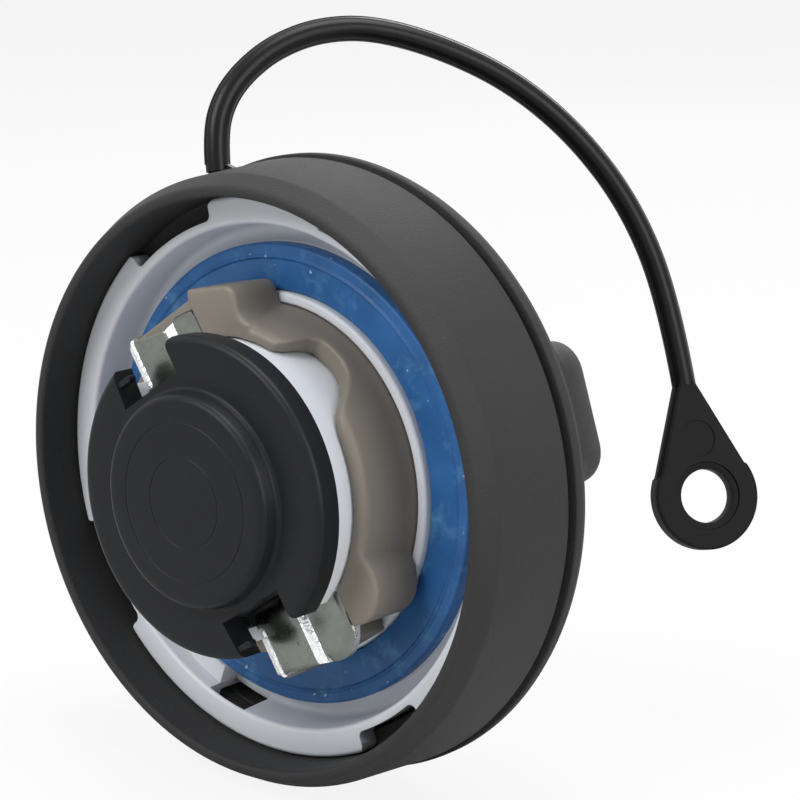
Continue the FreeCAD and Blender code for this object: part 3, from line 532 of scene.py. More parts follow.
# %% [markdown]
# The strap was moulded between two halves, so a fine ridge runs along both its sides. It follows the
# strap's own spline: we read the smooth line, and a node tree sweeps a thin flat section along it,
# with its normal held square to the strap's plane.

# %% Parting ridge along the strap
def ridge_tree():
    inputs = [("Width", "NodeSocketFloat"), ("Thickness", "NodeSocketFloat"),
              ("Plane", "NodeSocketVector"), ("Material", "NodeSocketMaterial")]
    tree, start, end = new_tree("parting_ridge", inputs)
    line = tree.nodes.new("GeometryNodeMeshToCurve")
    hold = tree.nodes.new("GeometryNodeSetCurveNormal")
    hold.mode = "FREE"
    section = tree.nodes.new("GeometryNodeCurvePrimitiveQuadrilateral")
    sweep = tree.nodes.new("GeometryNodeCurveToMesh")
    sweep.inputs["Fill Caps"].default_value = True
    tree.links.new(start.outputs["Geometry"], line.inputs["Mesh"])
    tree.links.new(line.outputs["Curve"], hold.inputs["Curve"])
    tree.links.new(start.outputs["Plane"], hold.inputs["Normal"])
    tree.links.new(hold.outputs["Curve"], sweep.inputs["Curve"])
    tree.links.new(start.outputs["Thickness"], section.inputs["Width"])
    tree.links.new(start.outputs["Width"], section.inputs["Height"])
    tree.links.new(section.outputs["Curve"], sweep.inputs["Profile Curve"])
    finish_tree(tree, start, end, sweep.outputs["Mesh"])
    return tree


bare = curve.copy()
bare.bevel_depth = 0
bare.materials.clear()
guide_line = put(bare, "guide_line")
graph = bpy.context.evaluated_depsgraph_get()
smooth_line = bpy.data.meshes.new_from_object(guide_line.evaluated_get(graph))
bpy.data.objects.remove(guide_line)
ridge = grow(put(smooth_line, "strap_ridge"), ridge_tree(), width=3.6 * MM, thickness=0.30 * MM,
             plane=tuple(strap_normal), material=tether_gloss)
tidy_faces(ridge.data)
shade(ridge)
print("ridge faces", len(ridge.data.polygons))


# %% [markdown]
# The eye is a flat teardrop. Its round end is as thick as the strap, its two long sides are drawn in
# and leave a thin flange in the middle, and a shallow step runs round the hole. We stack outlines at
# different heights: all have the same number of points, so a quad strip joins each to the next.

# %% Tether eye
EYE = {"neck": STRAP_RADIUS, "reach": 16.2, "outer": 7.75, "bore": 3.85, "half": 1.5}
EYE_LEAN = math.asin((EYE["outer"] - EYE["neck"]) / EYE["reach"])


def eye_outline(inset, drawn_in):
    """The teardrop's outline: inset all round, and its long sides drawn in further."""
    centre = Vector((0, -EYE["reach"]))
    arc_points = []
    for k in range(97):
        angle = EYE_LEAN - (math.pi + 2 * EYE_LEAN) * k / 96
        arc_points.append(centre + Vector((math.cos(angle), math.sin(angle))) * (EYE["outer"] - inset))
    side = []
    last = arc_points[0]
    top = Vector((EYE["neck"] - inset * 0.5, 0.0))
    side.append(Vector((0.6 if drawn_in > 0 else EYE["neck"], 2.2)))
    for k in range(24):
        part = k / 24
        point = top.lerp(last, part)
        point.x -= drawn_in * min(1.0, max(0.0, (0.94 - part) / 0.02))
        side.append(point)
    left = [Vector((-point.x, point.y)) for point in reversed(side)]
    return side + arc_points + left


def eye_hole(radius, total):
    centre = Vector((0, -EYE["reach"]))
    points = []
    for k in range(total):
        angle = math.pi / 2 - math.tau * (k + 0.5) / total
        points.append(centre + Vector((math.cos(angle), math.sin(angle))) * radius)
    return points


def eye_plate():
    """The plate is made flat, its neck at the origin, and then put in place at the strap's end."""
    half, bore = EYE["half"], EYE["bore"]
    flange, drawn_in = 0.45, 0.45
    count = len(eye_outline(0, 0))
    edge = [(0.46, drawn_in, half), (0.36, drawn_in, half), (0.10, drawn_in, half - 0.10),
            (0.0, drawn_in, half - 0.36), (0.0, drawn_in, flange + 0.1), (0.0, 0.0, flange)]
    step = [(1.15, half), (1.05, half), (0.95, half - 0.3), (0.3, half - 0.32), (0.06, half - 0.4),
            (0.0, half - 0.6)]
    rings = [(eye_outline(inset, sides), height) for inset, sides, height in edge]
    rings += [(loop, -height) for loop, height in reversed(rings)]
    rings += [(eye_hole(bore + wider, count), -height) for wider, height in step]
    rings += [(eye_hole(bore + wider, count), height) for wider, height in reversed(step)]
    verts = [(point.x * MM, point.y * MM, height * MM) for loop, height in rings for point in loop]
    faces = []
    for k in range(len(rings)):
        after = (k + 1) % len(rings)
        for i in range(count):
            j = (i + 1) % count
            faces.append((k * count + i, k * count + j, after * count + j, after * count + i))
    mesh = bpy.data.meshes.new("tether_loop")
    mesh.from_pydata(verts, [], faces)
    tidy_faces(mesh)
    plate = put(mesh, "tether_loop")
    dimple = turned("dimple", [(0, 0, 0), (2.65, 0, 0), (2.8, 0.6, 0), (0, 0.6, 0)], segments=64)
    face_up = Matrix.Rotation(-math.pi / 2, 4, "X")
    dimple.data.transform(Matrix.Translation(Vector((0, -7.9, half - 0.18)) * MM) @ face_up)
    combine(plate, [dimple], "DIFFERENCE")
    along = (route[-1] - route[-2]).normalized()
    axes = Matrix((strap_normal.cross(along), -along, strap_normal)).transposed().to_4x4()
    plate.data.transform(Matrix.Translation(route[-1]) @ axes)
    return plate


eye = paint(shade(eye_plate(), 32), eye_satin)
print("eye faces", len(eye.data.polygons))


# %% [markdown]
# A ring in the groove behind the skirt carries the strap, so that the tether turns round the cap. A
# short stub, square to the strap's first run, grows out of the ring's thin tongue.

# %% Tether ring and its stub
def stub_between(name, first, second, first_radius, second_radius):
    """A round tapered bar between two points in metres."""
    axis = (second - first).normalized()
    side = axis.orthogonal().normalized()
    other = axis.cross(side)
    angles = [math.tau * k / 40 for k in range(40)]
    ends = []
    for centre, radius in ((first, first_radius), (second, second_radius)):
        ends.append([tuple(centre + (side * math.cos(angle) + other * math.sin(angle)) * radius * MM)
                     for angle in angles])
    return capped(name, *ends)


swivel = turned("swivel_ring", [
    (37.4, -7.95, 0.1), (41.3, -7.95, 0.15), (41.3, -7.15, 0.15), (37.4, -7.15, 0.1),
], steps=3)
first_run = (route[1] - route[0]).normalized()
tongue = prism("tongue", [(-3.3, 40.0), (3.3, 40.0), (3.0, 42.3), (1.8, 43.4), (-1.8, 43.4),
                          (-3.0, 42.3)], -7.95, -7.15, ROOT_TURN)
stub = stub_between("stub", route[0] - first_run * 0.0010, route[0] + first_run * 0.0001,
                    STRAP_RADIUS, 1.66)
combine(swivel, [tongue, stub], "UNION")
shade(paint(swivel, tether_gloss))

belongs(swivel, "tether", "tether_plastic", "tether_ring")
belongs(eye, "tether", "tether_plastic", "tether_eye")
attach(ridge, "tether")
belongs(strap, "tether", "tether_plastic", "tether_cord")


# %% [markdown]
# ## Skirt ring
# The skirt is the black ring that closes over the neck. Its front edge is bevelled and its wall leans
# a little. All of it is one turned profile with rounded corners.

# %% Skirt ring
skirt = turned("skirt", [
    (39.9, -7.0, 0.2), (42.1, -7.0, 0.4), (41.2, 6.05, 1.6), (39.7, 9.0, 0.9), (38.3, 9.0, 0.6),
    (38.3, -0.2, 0.3), (35.8, -0.2, 0.2), (35.8, -2.2, 0.2), (39.9, -2.2, 0.3),
], segments=256)
belongs(shade(paint(skirt, black_grained)), "cap", "skirt_plastic", "skirt_ring")
print("skirt faces", len(skirt.data.polygons))


# %% [markdown]
# ## Cover and grip
# The cover is a low dome with a bar across it to turn the cap by. The dome is turned. The bar is a
# loft: rounded outlines stacked from inside the dome to the top, wide at the foot, where the moulding
# runs into the dome in a hollow curve, and narrow at the rounded top.

# %% Cover disc
cover = turned("cover", [
    (0.0, -10.8, 0), (35.6, -10.8, 0.5), (35.6, -2.2, 0.2), (37.2, -2.2, 0.2), (37.2, -8.1, 0.2),
    (42.5, -8.1, 0.3), (42.5, -9.3, 0.5), (41.93, -10.63, 1.0), (40.6, -11.2, 1.5),
    (21.25, -12.63, 30.0), (0.0, -13.1, 0),
], segments=256)


def grip_outline(half_length, half_width, corner):
    """A rectangle with round corners: (along the bar, across it)."""
    points = []
    for k, (u, v) in enumerate(((1, 1), (-1, 1), (-1, -1), (1, -1))):
        centre = (u * (half_length - corner), v * (half_width - corner))
        points += arc(centre, corner, 90 * k, 90 * k + 90, 8)
    return points


GRIP_TURN = 17.5


def grip_rings():
    """The bar's outlines from its foot to its top: (depth, half length, half width)."""
    base, top = 10.6, 22.7
    full, closing = 34, 6
    edge_round, end_round = 3.6, 11.0
    foot_level, foot_height, flare_width = 11.2, 2.2, 1.8
    rings = []
    for k in range(full + closing + 1):
        y = top
        if k <= full:
            y = base + (top - base) * (1 - math.cos(math.pi / 2 * (k / full))) * 0.999
        shrink = max(0, k - full) / closing * 5.0
        below = top - y
        edge = edge_round - math.sqrt(edge_round ** 2 - max(0.0, edge_round - below) ** 2)
        end = end_round - math.sqrt(max(0.0, end_round ** 2 - max(0.0, end_round - below) ** 2))
        foot = max(0.0, 1 - max(0.0, y - foot_level) / foot_height)
        flare = flare_width * (1 - math.sqrt(max(0.0, 1 - foot ** 2)))
        rings.append((y, 41.0 - end * 0.98 - shrink, 9.4 - edge + flare - shrink))
    return rings


def grip_bar():
    turn = math.radians(GRIP_TURN)
    rings = grip_rings()
    count = len(grip_outline(1, 1, 0.5))
    verts = []
    for y, half_length, half_width in rings:
        corner = min(4.5, max(0.35, half_width * 0.9))
        for along, across in grip_outline(half_length, max(0.4, half_width), corner):
            x = along * math.cos(turn) - across * math.sin(turn)
            z = along * math.sin(turn) + across * math.cos(turn)
            verts.append((x * MM, y * MM, z * MM))
    faces = [tuple(range(count)), tuple(range(len(verts) - 1, len(verts) - count - 1, -1))]
    for k in range(len(rings) - 1):
        for i in range(count):
            j = (i + 1) % count
            faces.append((k * count + i, k * count + j,
                          (k + 1) * count + j, (k + 1) * count + i))
    mesh = bpy.data.meshes.new("grip")
    mesh.from_pydata(verts, [], faces)
    tidy_faces(mesh, 0.000002)
    return put(mesh, "grip")


combine(cover, [grip_bar()], "UNION")
belongs(shade(paint(cover, black_grained), 35), "cap", "cover_plastic", "cover_disc")
print("cover faces", len(cover.data.polygons))


# %% [markdown]
# ## White inner body
# This moulding holds the seal and, with its four lobes, shows round the seal. We turn its profile and
# cut the gaps between the lobes, the window and the slots for the steel arms. A gap follows the
# ring's own curve, and the lobes' corners are round, so each cutter's outline is drawn with arcs.
# The two arms stand opposite each other, and their turns and their room are shared by all pieces.

# %% Inner body
TURN_A, TURN_B = 33.5, -146.5
ARM_ROOM = 6.2


def gap_outline(half):
    """A gap's outline between two lobes: arcs about the axis, round inside and flared outside."""
    inner, middle, outer, beyond = 35.4, 36.7, 38.1, 39.5
    small, corner = 1.0, 1.2
    quarter = [math.radians(15 * k) for k in range(7)]
    right = [(inner + small - math.cos(a), half - small + math.sin(a)) for a in quarter]
    right += [(outer - corner + corner * math.sin(a), half + corner - corner * math.cos(a))
              for a in quarter]
    right.append((beyond, half + corner))
    points = [(r * math.sin(across / middle), r * math.cos(across / middle)) for r, across in right]
    left = [(-u, v) for u, v in reversed(points)]
    inside = [(half - small) / middle * (k / 6 - 1) for k in range(1, 12)]
    outside = [(half + corner) / middle * (1 - k / 6) for k in range(1, 12)]
    floor = [(inner * math.sin(a), inner * math.cos(a)) for a in inside]
    outer_arc = [(beyond * math.sin(a), beyond * math.cos(a)) for a in outside]
    return points + outer_arc + left + floor


def sector(inner_radius, outer_radius, first, last, steps=14):
    """The outline of a piece of a ring between two turns in degrees."""
    turns = [math.radians(first + (last - first) * k / steps) for k in range(steps + 1)]
    return ([(-inner_radius * math.sin(a), inner_radius * math.cos(a)) for a in turns]
            + [(-outer_radius * math.sin(a), outer_radius * math.cos(a)) for a in reversed(turns)])


inner = turned("white_body", [
    (3.0, -7.5, 0.2), (20.0, -7.5, 0.2), (20.0, -4.8, 0.2), (35.2, -4.8, 0.2), (35.2, -0.2, 0.1),
    (38.1, -0.2, 0.2), (38.1, 2.75, 0.7), (34.2, 2.75, 0.7), (33.8, -3.0, 0.9), (31.5, -3.0, 0.1),
    (31.5, -2.2, 0.05), (25.1, -2.2, 0.05), (25.1, 0.75, 0.5), (23.7, 0.9, 0.5), (23.7, 0.0, 0.1),
    (20.0, 0.0, 0.1), (20.0, 13.0, 0.3), (18.2, 13.0, 0.3), (18.2, -2.5, 0.1), (14.4, -2.5, 0.2),
    (14.4, -5.5, 0.2), (3.0, -5.5, 0.2),
], segments=256)
web = prism("web", sector(31.3, 34.6, 122.0, 158.6), -3.1, 0.3)
combine(inner, [web], "UNION")
cutters = [prism("gap", gap_outline(half), -0.3, 3.5, turn)
           for turn, half in ((30.0, 8.3), (-19.0, 3.5), (-145.6, 5.8), (121.0, 8.0))]
window_ends, window_top = (158.8, 170.2), 2.35
cutters.append(prism("window", sector(34.15, 38.6, *window_ends), -5.5, window_top))
cutters.append(prism("window_foot", sector(33.0, 34.6, *window_ends), -2.9, window_top))
cutters.append(block("slots", -ARM_ROOM, ARM_ROOM, -21.0, 21.0, 7.0, 14.0, TURN_A))
combine(inner, cutters, "DIFFERENCE")
soften(inner, 0.3)
belongs(shade(paint(inner, white_glossy)), "cap", "white_plastic", "inner_body")
print("inner body faces", len(inner.data.polygons))


# %% [markdown]
# ## Blue seal
# The seal is a flat rubber ring with a fine lip near its outer edge.

# %% Seal ring
seal = turned("blue_seal", [
    (25.2, -2.2, 0.1), (31.4, -2.2, 0.1), (31.4, 0.0, 0.5), (29.95, 0.0, 0.15), (29.6, 0.3, 0.15),
    (29.25, 0.0, 0.15), (25.2, 0.0, 0.4),
], segments=256)
belongs(shade(paint(seal, blue_seal)), "cap", "seal_rubber", "seal_ring")
print("seal faces", len(seal.data.polygons))


# %% [markdown]
# ## End plug
# A smooth black disc with a round boss. Two fine circles are engraved on the boss. The notches let
# the steel arms pass: one side of each ends in a thin finger at the rim, the other in a round corner.

# %% End plug
def notch_outline(mirror):
    centre, corner = (7.4, 18.69), 1.2
    side = centre[0] + corner
    points = [(-5.3, 15.5), (ARM_ROOM, 15.5)]
    points += arc(centre, corner, 180, math.degrees(math.atan2(centre[1], centre[0])), 8)
    points += [(side, 22.0), (side, 24.0), (-4.2, 24.0), (-4.9, 19.5)]
    return [(u * mirror, v) for u, v in points]


def finger(mirror, low, turn):
    """A thin bar that reaches over the notch near the front of the disc."""
    half = 0.4
    outline = [(-6.0, low)] + arc((-2.7, low + half), half, -90, 90, 8) + [(-6.0, low + 0.8)]
    return prism("finger", [(u * mirror, v) for u, v in outline], 15.3, 16.4, turn)


def engraved(inner, first, middle, second, outer):
    """The profile of a fine groove in the boss, with a flat support ring on each side of it."""
    return [(inner, BOSS_FACE, 0), (first, BOSS_FACE, 0.03), (middle, BOSS_FACE - 0.1, 0.03),
            (second, BOSS_FACE, 0.03), (outer, BOSS_FACE, 0)]


BOSS_FACE, DISC_FACE, DISC_BACK = 19.2, 16.6, 13.0
plug = turned("plug", [
    (0.0, BOSS_FACE, 0), *engraved(5.70, 5.92, 6.04, 6.16, 6.4),
    *engraved(10.2, 10.48, 10.6, 10.72, 11.0), (12.2, BOSS_FACE, 0), (13.9, BOSS_FACE, 1.5),
    (14.4, DISC_FACE, 0.7), (16.0, DISC_FACE, 0), (19.3, DISC_FACE, 0), (21.3, DISC_FACE, 1.3),
    (21.3, DISC_BACK, 0.2), (18.1, DISC_BACK, 0.1), (18.1, 10.6, 0.2), (16.8, 10.6, 0.2),
    (16.8, DISC_BACK, 0.1), (12.25, DISC_BACK, 0.2), (12.25, 17.0, 0.2), (0.0, 17.0, 0),
], segments=256)
notches = [prism("notch", notch_outline(mirror), 12.9, 18.5, turn)
           for mirror, turn in ((1, TURN_A), (-1, TURN_B))]
notches += [block("collar_gap", -6.8, 6.8, 12.6, 24.0, 9.5, DISC_BACK, turn)
            for turn in (TURN_A, TURN_B)]
combine(plug, notches, "DIFFERENCE")
combine(plug, [finger(1, 18.4, TURN_A), finger(-1, 19.1, TURN_B)], "UNION")
soften(plug, 0.25)
belongs(shade(paint(plug, black_smooth)), "cap", "plug_plastic", "end_plug")
print("plug faces", len(plug.data.polygons))


# %% [markdown]
# ## Tan guide ring
# The guide ring is a soft-edged moulding. We join its plain parts, cut the pockets and the ramp, and
# remesh the whole finely, so that a few rounds of smoothing round every edge as a mould does.

# %% Guide ring
BORE, RIM, FOOT = 20.15, 9.45, 1.1
guide = turned("guide", [
    (BORE, 0.0, 0), (23.6, 0.0, 0), (23.6, FOOT, 0), (22.1, 8.75, 0), (21.4, RIM, 0), (BORE, RIM, 0),
], segments=256)
parts = [prism("block", [(-3.9, 20.6), (5.5, 20.6), (6.6, 21.0)] + arc((7.4, 24.0), 2.6, 262, 180, 8)
               + arc((3.0, 24.9), 1.8, 0, 90, 8) + [(-3.9, 26.7)], FOOT, RIM, 10.5)]
parts.append(prism("bulge", arc((0, 21.7), 5.0, 0, 352.5, 47), FOOT, RIM, -117.0))
parts.append(block("pad_a", -7.7, ARM_ROOM, 20.75, 25.6, FOOT, 8.6, TURN_A))
parts.append(block("pad_b", -ARM_ROOM, 7.7, 20.75, 24.9, FOOT, 8.6, TURN_B))
combine(guide, parts, "UNION")
cuts = [turned("bore", [(0, -1, 0), (BORE, -1, 0), (BORE, 12, 0), (0, 12, 0)], segments=256)]
cuts.append(block("pocket_a", -ARM_ROOM, ARM_ROOM, 18.2, 29.0, 7.2, 11.0, TURN_A))
cuts.append(block("pocket_b", -8.5, ARM_ROOM, 18.2, 29.0, 7.2, 11.0, TURN_B))
combine(guide, cuts, "DIFFERENCE")


def ramp_cutter():
    """The valley in the rim, straight across the ring's wall."""
    angle = math.radians(40.0)
    out = Vector((math.sin(angle), 0, math.cos(angle)))
    side = Vector((math.cos(angle), 0, -math.sin(angle)))
    profile = [(-7.4, RIM), (-6.6, 8.2), (-6.0, 5.2), (-5.2, 4.2), (-4.0, 4.1), (-1.0, 4.1),
               (1.0, 4.7), (3.0, 6.3), (4.8, 8.3), (6.2, 9.2), (7.8, RIM), (7.8, 11.0), (-7.4, 11.0)]
    ends = []
    for reach in (10.0, 30.0):
        ends.append([tuple((out * reach + side * x) * MM + Vector((0, -t * MM, 0)))
                     for x, t in profile])
    return capped("valley", *ends)


combine(guide, [ramp_cutter()], "DIFFERENCE")
melt(guide, 0.3, 12)
belongs(paint(guide, tan_plastic), "cap", "tan_plastic", "guide_ring")
print("guide ring faces", len(guide.data.polygons))


# %% [markdown]
# ## Steel yoke
# The yoke is pressed from sheet: a flat ring inside the neck with two arms that bend out through it.
# The press half shears each lug, so that one side sits lower, and leaves a bright torn wall between
# the two levels. Each lug is a grid that follows the bend, and the step is a sudden fall across it.

# %% Steel yoke
SHEET, BEND, ARM, LUG_DEPTH = 1.9, 3.4, 16.2, 10.5
ARM_HALF = 6.0
STEP = 1.25
STEP_START, STEP_RUN = 17.2, 1.6
FLAT_FROM = 15


def lug_line(end):
    """The lug's face from the ring, up inside the neck and out: (radius, depth, normal) points."""
    inner = ARM - SHEET
    line = [(inner, depth, (-1.0, 0.0)) for depth in (-0.8, 2.0, 4.5, LUG_DEPTH - BEND)]
    for k in range(1, 13):
        angle = math.pi / 2 * k / 12
        line.append((inner + BEND * (1 - math.cos(angle)), LUG_DEPTH - BEND + BEND * math.sin(angle),
                     (-math.cos(angle), math.sin(angle))))
    for k in range(1, 25):
        line.append((inner + BEND + (end - inner - BEND) * k / 24, LUG_DEPTH, (0.0, 1.0)))
    return line


def lug(name, turn, mirror, rows, lip):
    """One arm and its lug. Each row is (across, drop, end): where it lies, how far the press pushed
    the face down there and where it ends. The lower part slopes down and gets thinner over its last
    lip millimetres."""
    turn_by = math.radians(turn)
    verts = []
    for across, drop, end in rows:
        slope, slope_fall, thinning = (lip, 0.55, 0.9) if across > 2 else (0.4, 0.25, 0.0)
        for r, depth, normal in lug_line(end):
            out = min(1.0, max(0.0, (r - STEP_START) / STEP_RUN))
            out = out * out * (3 - 2 * out)
            near_end = max(0.0, (r - (end - slope)) / slope)
            fall = drop * out + slope_fall * near_end ** 2
            x = max(-ARM_HALF, min(ARM_HALF, across)) * (1 - out) + across * out
            for thick in (0.0, SHEET - thinning * near_end):
                reach = r - normal[0] * thick
                level = depth - normal[1] * (thick + fall)
                u, v = x * mirror, reach
                verts.append(((u * math.cos(turn_by) - v * math.sin(turn_by)) * MM, -level * MM,
                              (u * math.sin(turn_by) + v * math.cos(turn_by)) * MM))
    columns = len(lug_line(24.0))
    last = len(rows) - 1

    def at(i, j, side):
        return (i * columns + j) * 2 + side

    faces = []
    kinds = []
    for i in range(last):
        for j in range(columns - 1):
            faces.append((at(i, j, 0), at(i + 1, j, 0), at(i + 1, j + 1, 0), at(i, j + 1, 0)))
            kinds.append(1 if i in TORN_ROWS and j >= FLAT_FROM else 0)
            faces.append((at(i, j, 1), at(i, j + 1, 1), at(i + 1, j + 1, 1), at(i + 1, j, 1)))
            kinds.append(0)
        for j in (0, columns - 1):
            faces.append((at(i, j, 0), at(i, j, 1), at(i + 1, j, 1), at(i + 1, j, 0)))
            kinds.append(1)
    for i in (0, last):
        for j in range(columns - 1):
            faces.append((at(i, j, 0), at(i, j + 1, 0), at(i, j + 1, 1), at(i, j, 1)))
            kinds.append(1)
    mesh = bpy.data.meshes.new(name)
    mesh.from_pydata(verts, [], faces)
    mesh.materials.append(zinc_steel)
    mesh.materials.append(sheared_steel)
    for face, kind in zip(mesh.polygons, kinds):
        face.material_index = kind
    tidy_faces(mesh, 0.000002)
    return put(mesh, name)


# The free side has a torn, flared edge behind a thin crease; then come the plain face, the sheared step
# and the lower part, whose end slopes down. The first three rows and the step, row 10, are torn bright.
TORN_ROWS = (0, 1, 2, 10)
FREE_SIDE = [(-6.6, 0.60, 24.0), (-6.45, 0.28, 24.3), (-5.7, 0.12, 24.8), (-5.35, 0.45, 24.8),
             (-5.1, 0.10, 24.7), (-4.6, 0.0, 24.5)]
PLAIN_A = [(-3.0, 0.0, 24.0), (-1.5, 0.0, 23.7), (0.0, 0.0, 23.4), (0.7, 0.06, 23.3),
           (1.2, 0.22, 23.2), (2.0, STEP, 23.7), (2.2, STEP + 0.03, 24.2)]
PLAIN_B = [(-3.0, 0.0, 24.8), (-1.5, 0.0, 25.1), (0.0, 0.0, 25.4), (0.7, 0.06, 25.5),
           (1.2, 0.22, 25.6), (2.0, STEP, 25.9), (2.2, STEP + 0.03, 26.0)]
LOW_A = [(3.2, STEP, 24.1), (4.4, STEP, 23.9), (5.4, STEP, 23.7), (5.85, STEP + 0.06, 23.6),
         (6.0, STEP + 0.25, 23.5)]
LOW_B = [(3.2, STEP, 26.3), (4.4, STEP, 26.4), (5.4, STEP, 26.3), (6.2, STEP, 26.0),
         (7.0, STEP, 25.4), (7.6, STEP + 0.05, 24.7), (8.05, STEP + 0.18, 23.8),
         (8.3, STEP + 0.45, 22.9)]


def joined(name, pieces, materials):
    """One object with the meshes of several, whose faces keep the numbers of their materials."""
    work = bmesh.new()
    for piece in pieces:
        work.from_mesh(piece.data)
    mesh = bpy.data.meshes.new(name)
    for material in materials:
        mesh.materials.append(material)
    work.to_mesh(mesh)
    work.free()
    for piece in pieces:
        bpy.data.objects.remove(piece)
    return put(mesh, name)


yoke_ring = turned("yoke_ring", [
    (9.9, -2.5, 0.25), (ARM, -2.5, 0.25), (ARM, -0.6, 0.25), (9.9, -0.6, 0.25),
], segments=128, steps=3)
lug_a = lug("lug_a", TURN_A, 1, FREE_SIDE + PLAIN_A + LOW_A, 0.4)
lug_b = lug("lug_b", TURN_B, -1, FREE_SIDE + PLAIN_B + LOW_B, 2.2)
yoke = joined("yoke", [yoke_ring, lug_a, lug_b], (zinc_steel, sheared_steel))
shade(yoke, 38)
belongs(yoke, "yoke", "zinc_steel", "bayonet_yoke")
print("yoke faces", len(yoke.data.polygons))


# %% [markdown]
# ## Cover screws
# Four like screws hold the inner body to the cover. One screw is turned and gets a six-sided recess.
# A node tree sets a copy at each point of a ring, turned to its own angle.

# %% Cover screws by Geometry Nodes
def screw_tree():
    inputs = [("Count", "NodeSocketInt"), ("Ring Radius", "NodeSocketFloat"),
              ("First Angle", "NodeSocketFloat"), ("Material", "NodeSocketMaterial")]
    tree, start, end = new_tree("screw_ring", inputs)
    points = tree.nodes.new("GeometryNodeMeshCircle")
    lay = tree.nodes.new("GeometryNodeTransform")
    lay.inputs["Rotation"].default_value = (math.pi / 2, 0, 0)
    angle = tree.nodes.new("ShaderNodeCombineXYZ")
    spin = tree.nodes.new("GeometryNodeTransform")
    copies = tree.nodes.new("GeometryNodeInstanceOnPoints")
    tree.links.new(start.outputs["Count"], points.inputs["Vertices"])
    tree.links.new(start.outputs["Ring Radius"], points.inputs["Radius"])
    tree.links.new(points.outputs["Mesh"], lay.inputs["Geometry"])
    tree.links.new(start.outputs["First Angle"], angle.inputs["Y"])
    tree.links.new(lay.outputs["Geometry"], spin.inputs["Geometry"])
    tree.links.new(angle.outputs["Vector"], spin.inputs["Rotation"])
    tree.links.new(spin.outputs["Geometry"], copies.inputs["Points"])
    tree.links.new(start.outputs["Geometry"], copies.inputs["Instance"])
    finish_tree(tree, start, end, copies.outputs["Instances"])
    return tree


screws = turned("cover_screws", [
    (0, -3.9, 0), (1.7, -3.9, 0.3), (2.4, -4.7, 0.3), (2.4, -5.5, 0.1), (1.4, -5.5, 0.1),
    (1.4, -10.9, 0.3), (0, -11.1, 0),
], segments=32, steps=3)
drive = prism("drive", arc((0, 0), 1.1, 0, 300, 5), -4.6, -3.0)
combine(screws, [drive], "DIFFERENCE")
grow(screws, screw_tree(), count=4, ring_radius=11.9 * MM,
     first_angle=math.radians(45 - GRIP_TURN), material=screw_steel)
shade(screws, 35)
belongs(screws, "cap", "screw_steel", "cover_screw_1", "cover_screw_2", "cover_screw_3",
        "cover_screw_4")
print("screws from", [round(value * 1000, 1) for value in screws.bound_box[0]])


# %% [markdown]
# ## Valves and springs
# The valves and springs are hidden inside. They stay as the measured model has them, and only get our
# materials.

# %% Pieces inside, from the measured model
for name, material in (("valve_cage", valve_plastic), ("main_spring", spring_steel),
                       ("pressure_valve_plate", valve_plastic), ("pressure_valve_seal", valve_rubber),
                       ("pressure_valve_spring", spring_steel), ("vacuum_valve_stem", valve_plastic),
                       ("vacuum_valve_seal", valve_rubber), ("vacuum_valve_spring", spring_steel),
                       ("vacuum_valve_clip", spring_steel)):
    paint(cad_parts[name], material)
    print(name, "gets", material.name)


# %% [markdown]
# A coil spring gets shorter as its joint moves: one end goes along with the moving piece, and the
# other stays on its seat. The springs here don't shorten: each only gets a mesh of its own, and we
# print the share of its length at rest that is left after the joint's travel.

# %% Give each spring a mesh of its own
for name, joint, moving_end, length, travel in (
        ("main_spring", "yoke_slide", 0.60, 17.53, 2.2),
        ("pressure_valve_spring", "pressure_valve_lift", -2.89, 8.39, 2.0),
        ("vacuum_valve_spring", "vacuum_valve_lift", 0.50, 3.39, 1.5)):
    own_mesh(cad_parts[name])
    print(name, "keeps", round(1 - travel / length, 3))


# %% [markdown]
# ## Floor and light
# The cap stands on a plain floor that the camera sees nearly white, with some of the cap's shadow.

# %% Floor
def white_floor(level):
    mesh = bpy.data.meshes.new("floor")
    size = 3.0
    mesh.from_pydata([(-size, -size, level), (size, -size, level), (size, size, level),
                      (-size, size, level)], [], [(0, 1, 2, 3)])
    floor = put(mesh, "floor")
    material = bpy.data.materials.new("white_floor")
    material.use_nodes = True
    tree = material.node_tree
    shader = tree.nodes["Principled BSDF"]
    fill(shader, Base_Color=(0.62, 0.62, 0.62, 1), Roughness=0.9)
    out = tree.nodes["Material Output"]
    glow = tree.nodes.new("ShaderNodeEmission")
    fill(glow, Color=(1, 1, 1, 1), Strength=1.0)
    blend = tree.nodes.new("ShaderNodeMixShader")
    path = tree.nodes.new("ShaderNodeLightPath")
    share = tree.nodes.new("ShaderNodeMath")
    share.operation = "MULTIPLY"
    share.inputs[1].default_value = 0.88
    tree.links.new(path.outputs["Is Camera Ray"], share.inputs[0])
    tree.links.new(share.outputs["Value"], blend.inputs["Fac"])
    tree.links.new(shader.outputs["BSDF"], blend.inputs[1])
    tree.links.new(glow.outputs["Emission"], blend.inputs[2])
    tree.links.new(blend.outputs["Shader"], out.inputs["Surface"])
    floor.data.materials.append(material)
    return floor


floor = white_floor(cad_box[0][2] - 0.0002)
print("floor at", round(floor.data.vertices[0].co.z, 4))


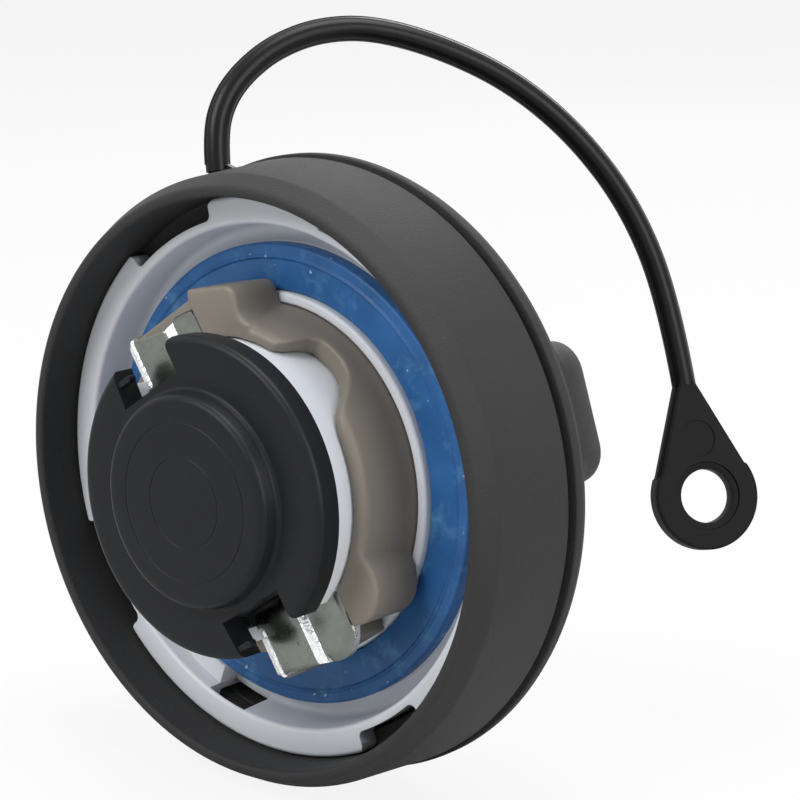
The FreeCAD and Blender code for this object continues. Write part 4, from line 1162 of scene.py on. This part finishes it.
# %% [markdown]
# The world gives an even, low light. Camera, glossy and transmission rays see plain white instead, so
# that the background is white and the steel mirrors it. Four soft lamps do the rest.

# %% World and lamps
def soft_world(strength):
    world = bpy.data.worlds.new("studio")
    bpy.context.scene.world = world
    world.use_nodes = True
    tree = world.node_tree
    tree.nodes.clear()
    out = tree.nodes.new("ShaderNodeOutputWorld")
    light = tree.nodes.new("ShaderNodeBackground")
    fill(light, Color=(0.95, 0.97, 1.0, 1), Strength=strength)
    seen = tree.nodes.new("ShaderNodeBackground")
    fill(seen, Color=(1, 1, 1, 1), Strength=1.0)
    pick = tree.nodes.new("ShaderNodeMixShader")
    path = tree.nodes.new("ShaderNodeLightPath")
    camera_or_glossy = tree.nodes.new("ShaderNodeMath")
    tree.links.new(path.outputs["Is Camera Ray"], camera_or_glossy.inputs[0])
    tree.links.new(path.outputs["Is Glossy Ray"], camera_or_glossy.inputs[1])
    seen_by = tree.nodes.new("ShaderNodeMath")
    seen_by.use_clamp = True
    tree.links.new(camera_or_glossy.outputs["Value"], seen_by.inputs[0])
    tree.links.new(path.outputs["Is Transmission Ray"], seen_by.inputs[1])
    tree.links.new(seen_by.outputs["Value"], pick.inputs["Fac"])
    tree.links.new(light.outputs["Background"], pick.inputs[1])
    tree.links.new(seen.outputs["Background"], pick.inputs[2])
    tree.links.new(pick.outputs["Shader"], out.inputs["Surface"])


def softbox(name, position, width, height, power):
    data = bpy.data.lights.new(name, "AREA")
    data.shape = "RECTANGLE"
    data.size = width
    data.size_y = height
    data.energy = power
    lamp = put(data, name)
    lamp.location = position
    lamp.rotation_euler = (-Vector(position)).to_track_quat("-Z", "Y").to_euler()
    print("lamp", name, power, "W")


soft_world(0.22)
softbox("key", (-0.25, -0.75, 0.65), 0.6, 0.5, 7.0)
softbox("side", (0.9, -0.1, 0.35), 0.5, 0.7, 5.0)
softbox("back", (-0.4, 0.9, 0.5), 0.5, 0.5, 2.0)
softbox("top", (0.1, 0.1, 1.0), 0.7, 0.7, 10.0)
bpy.context.scene.view_settings.view_transform = "Standard"
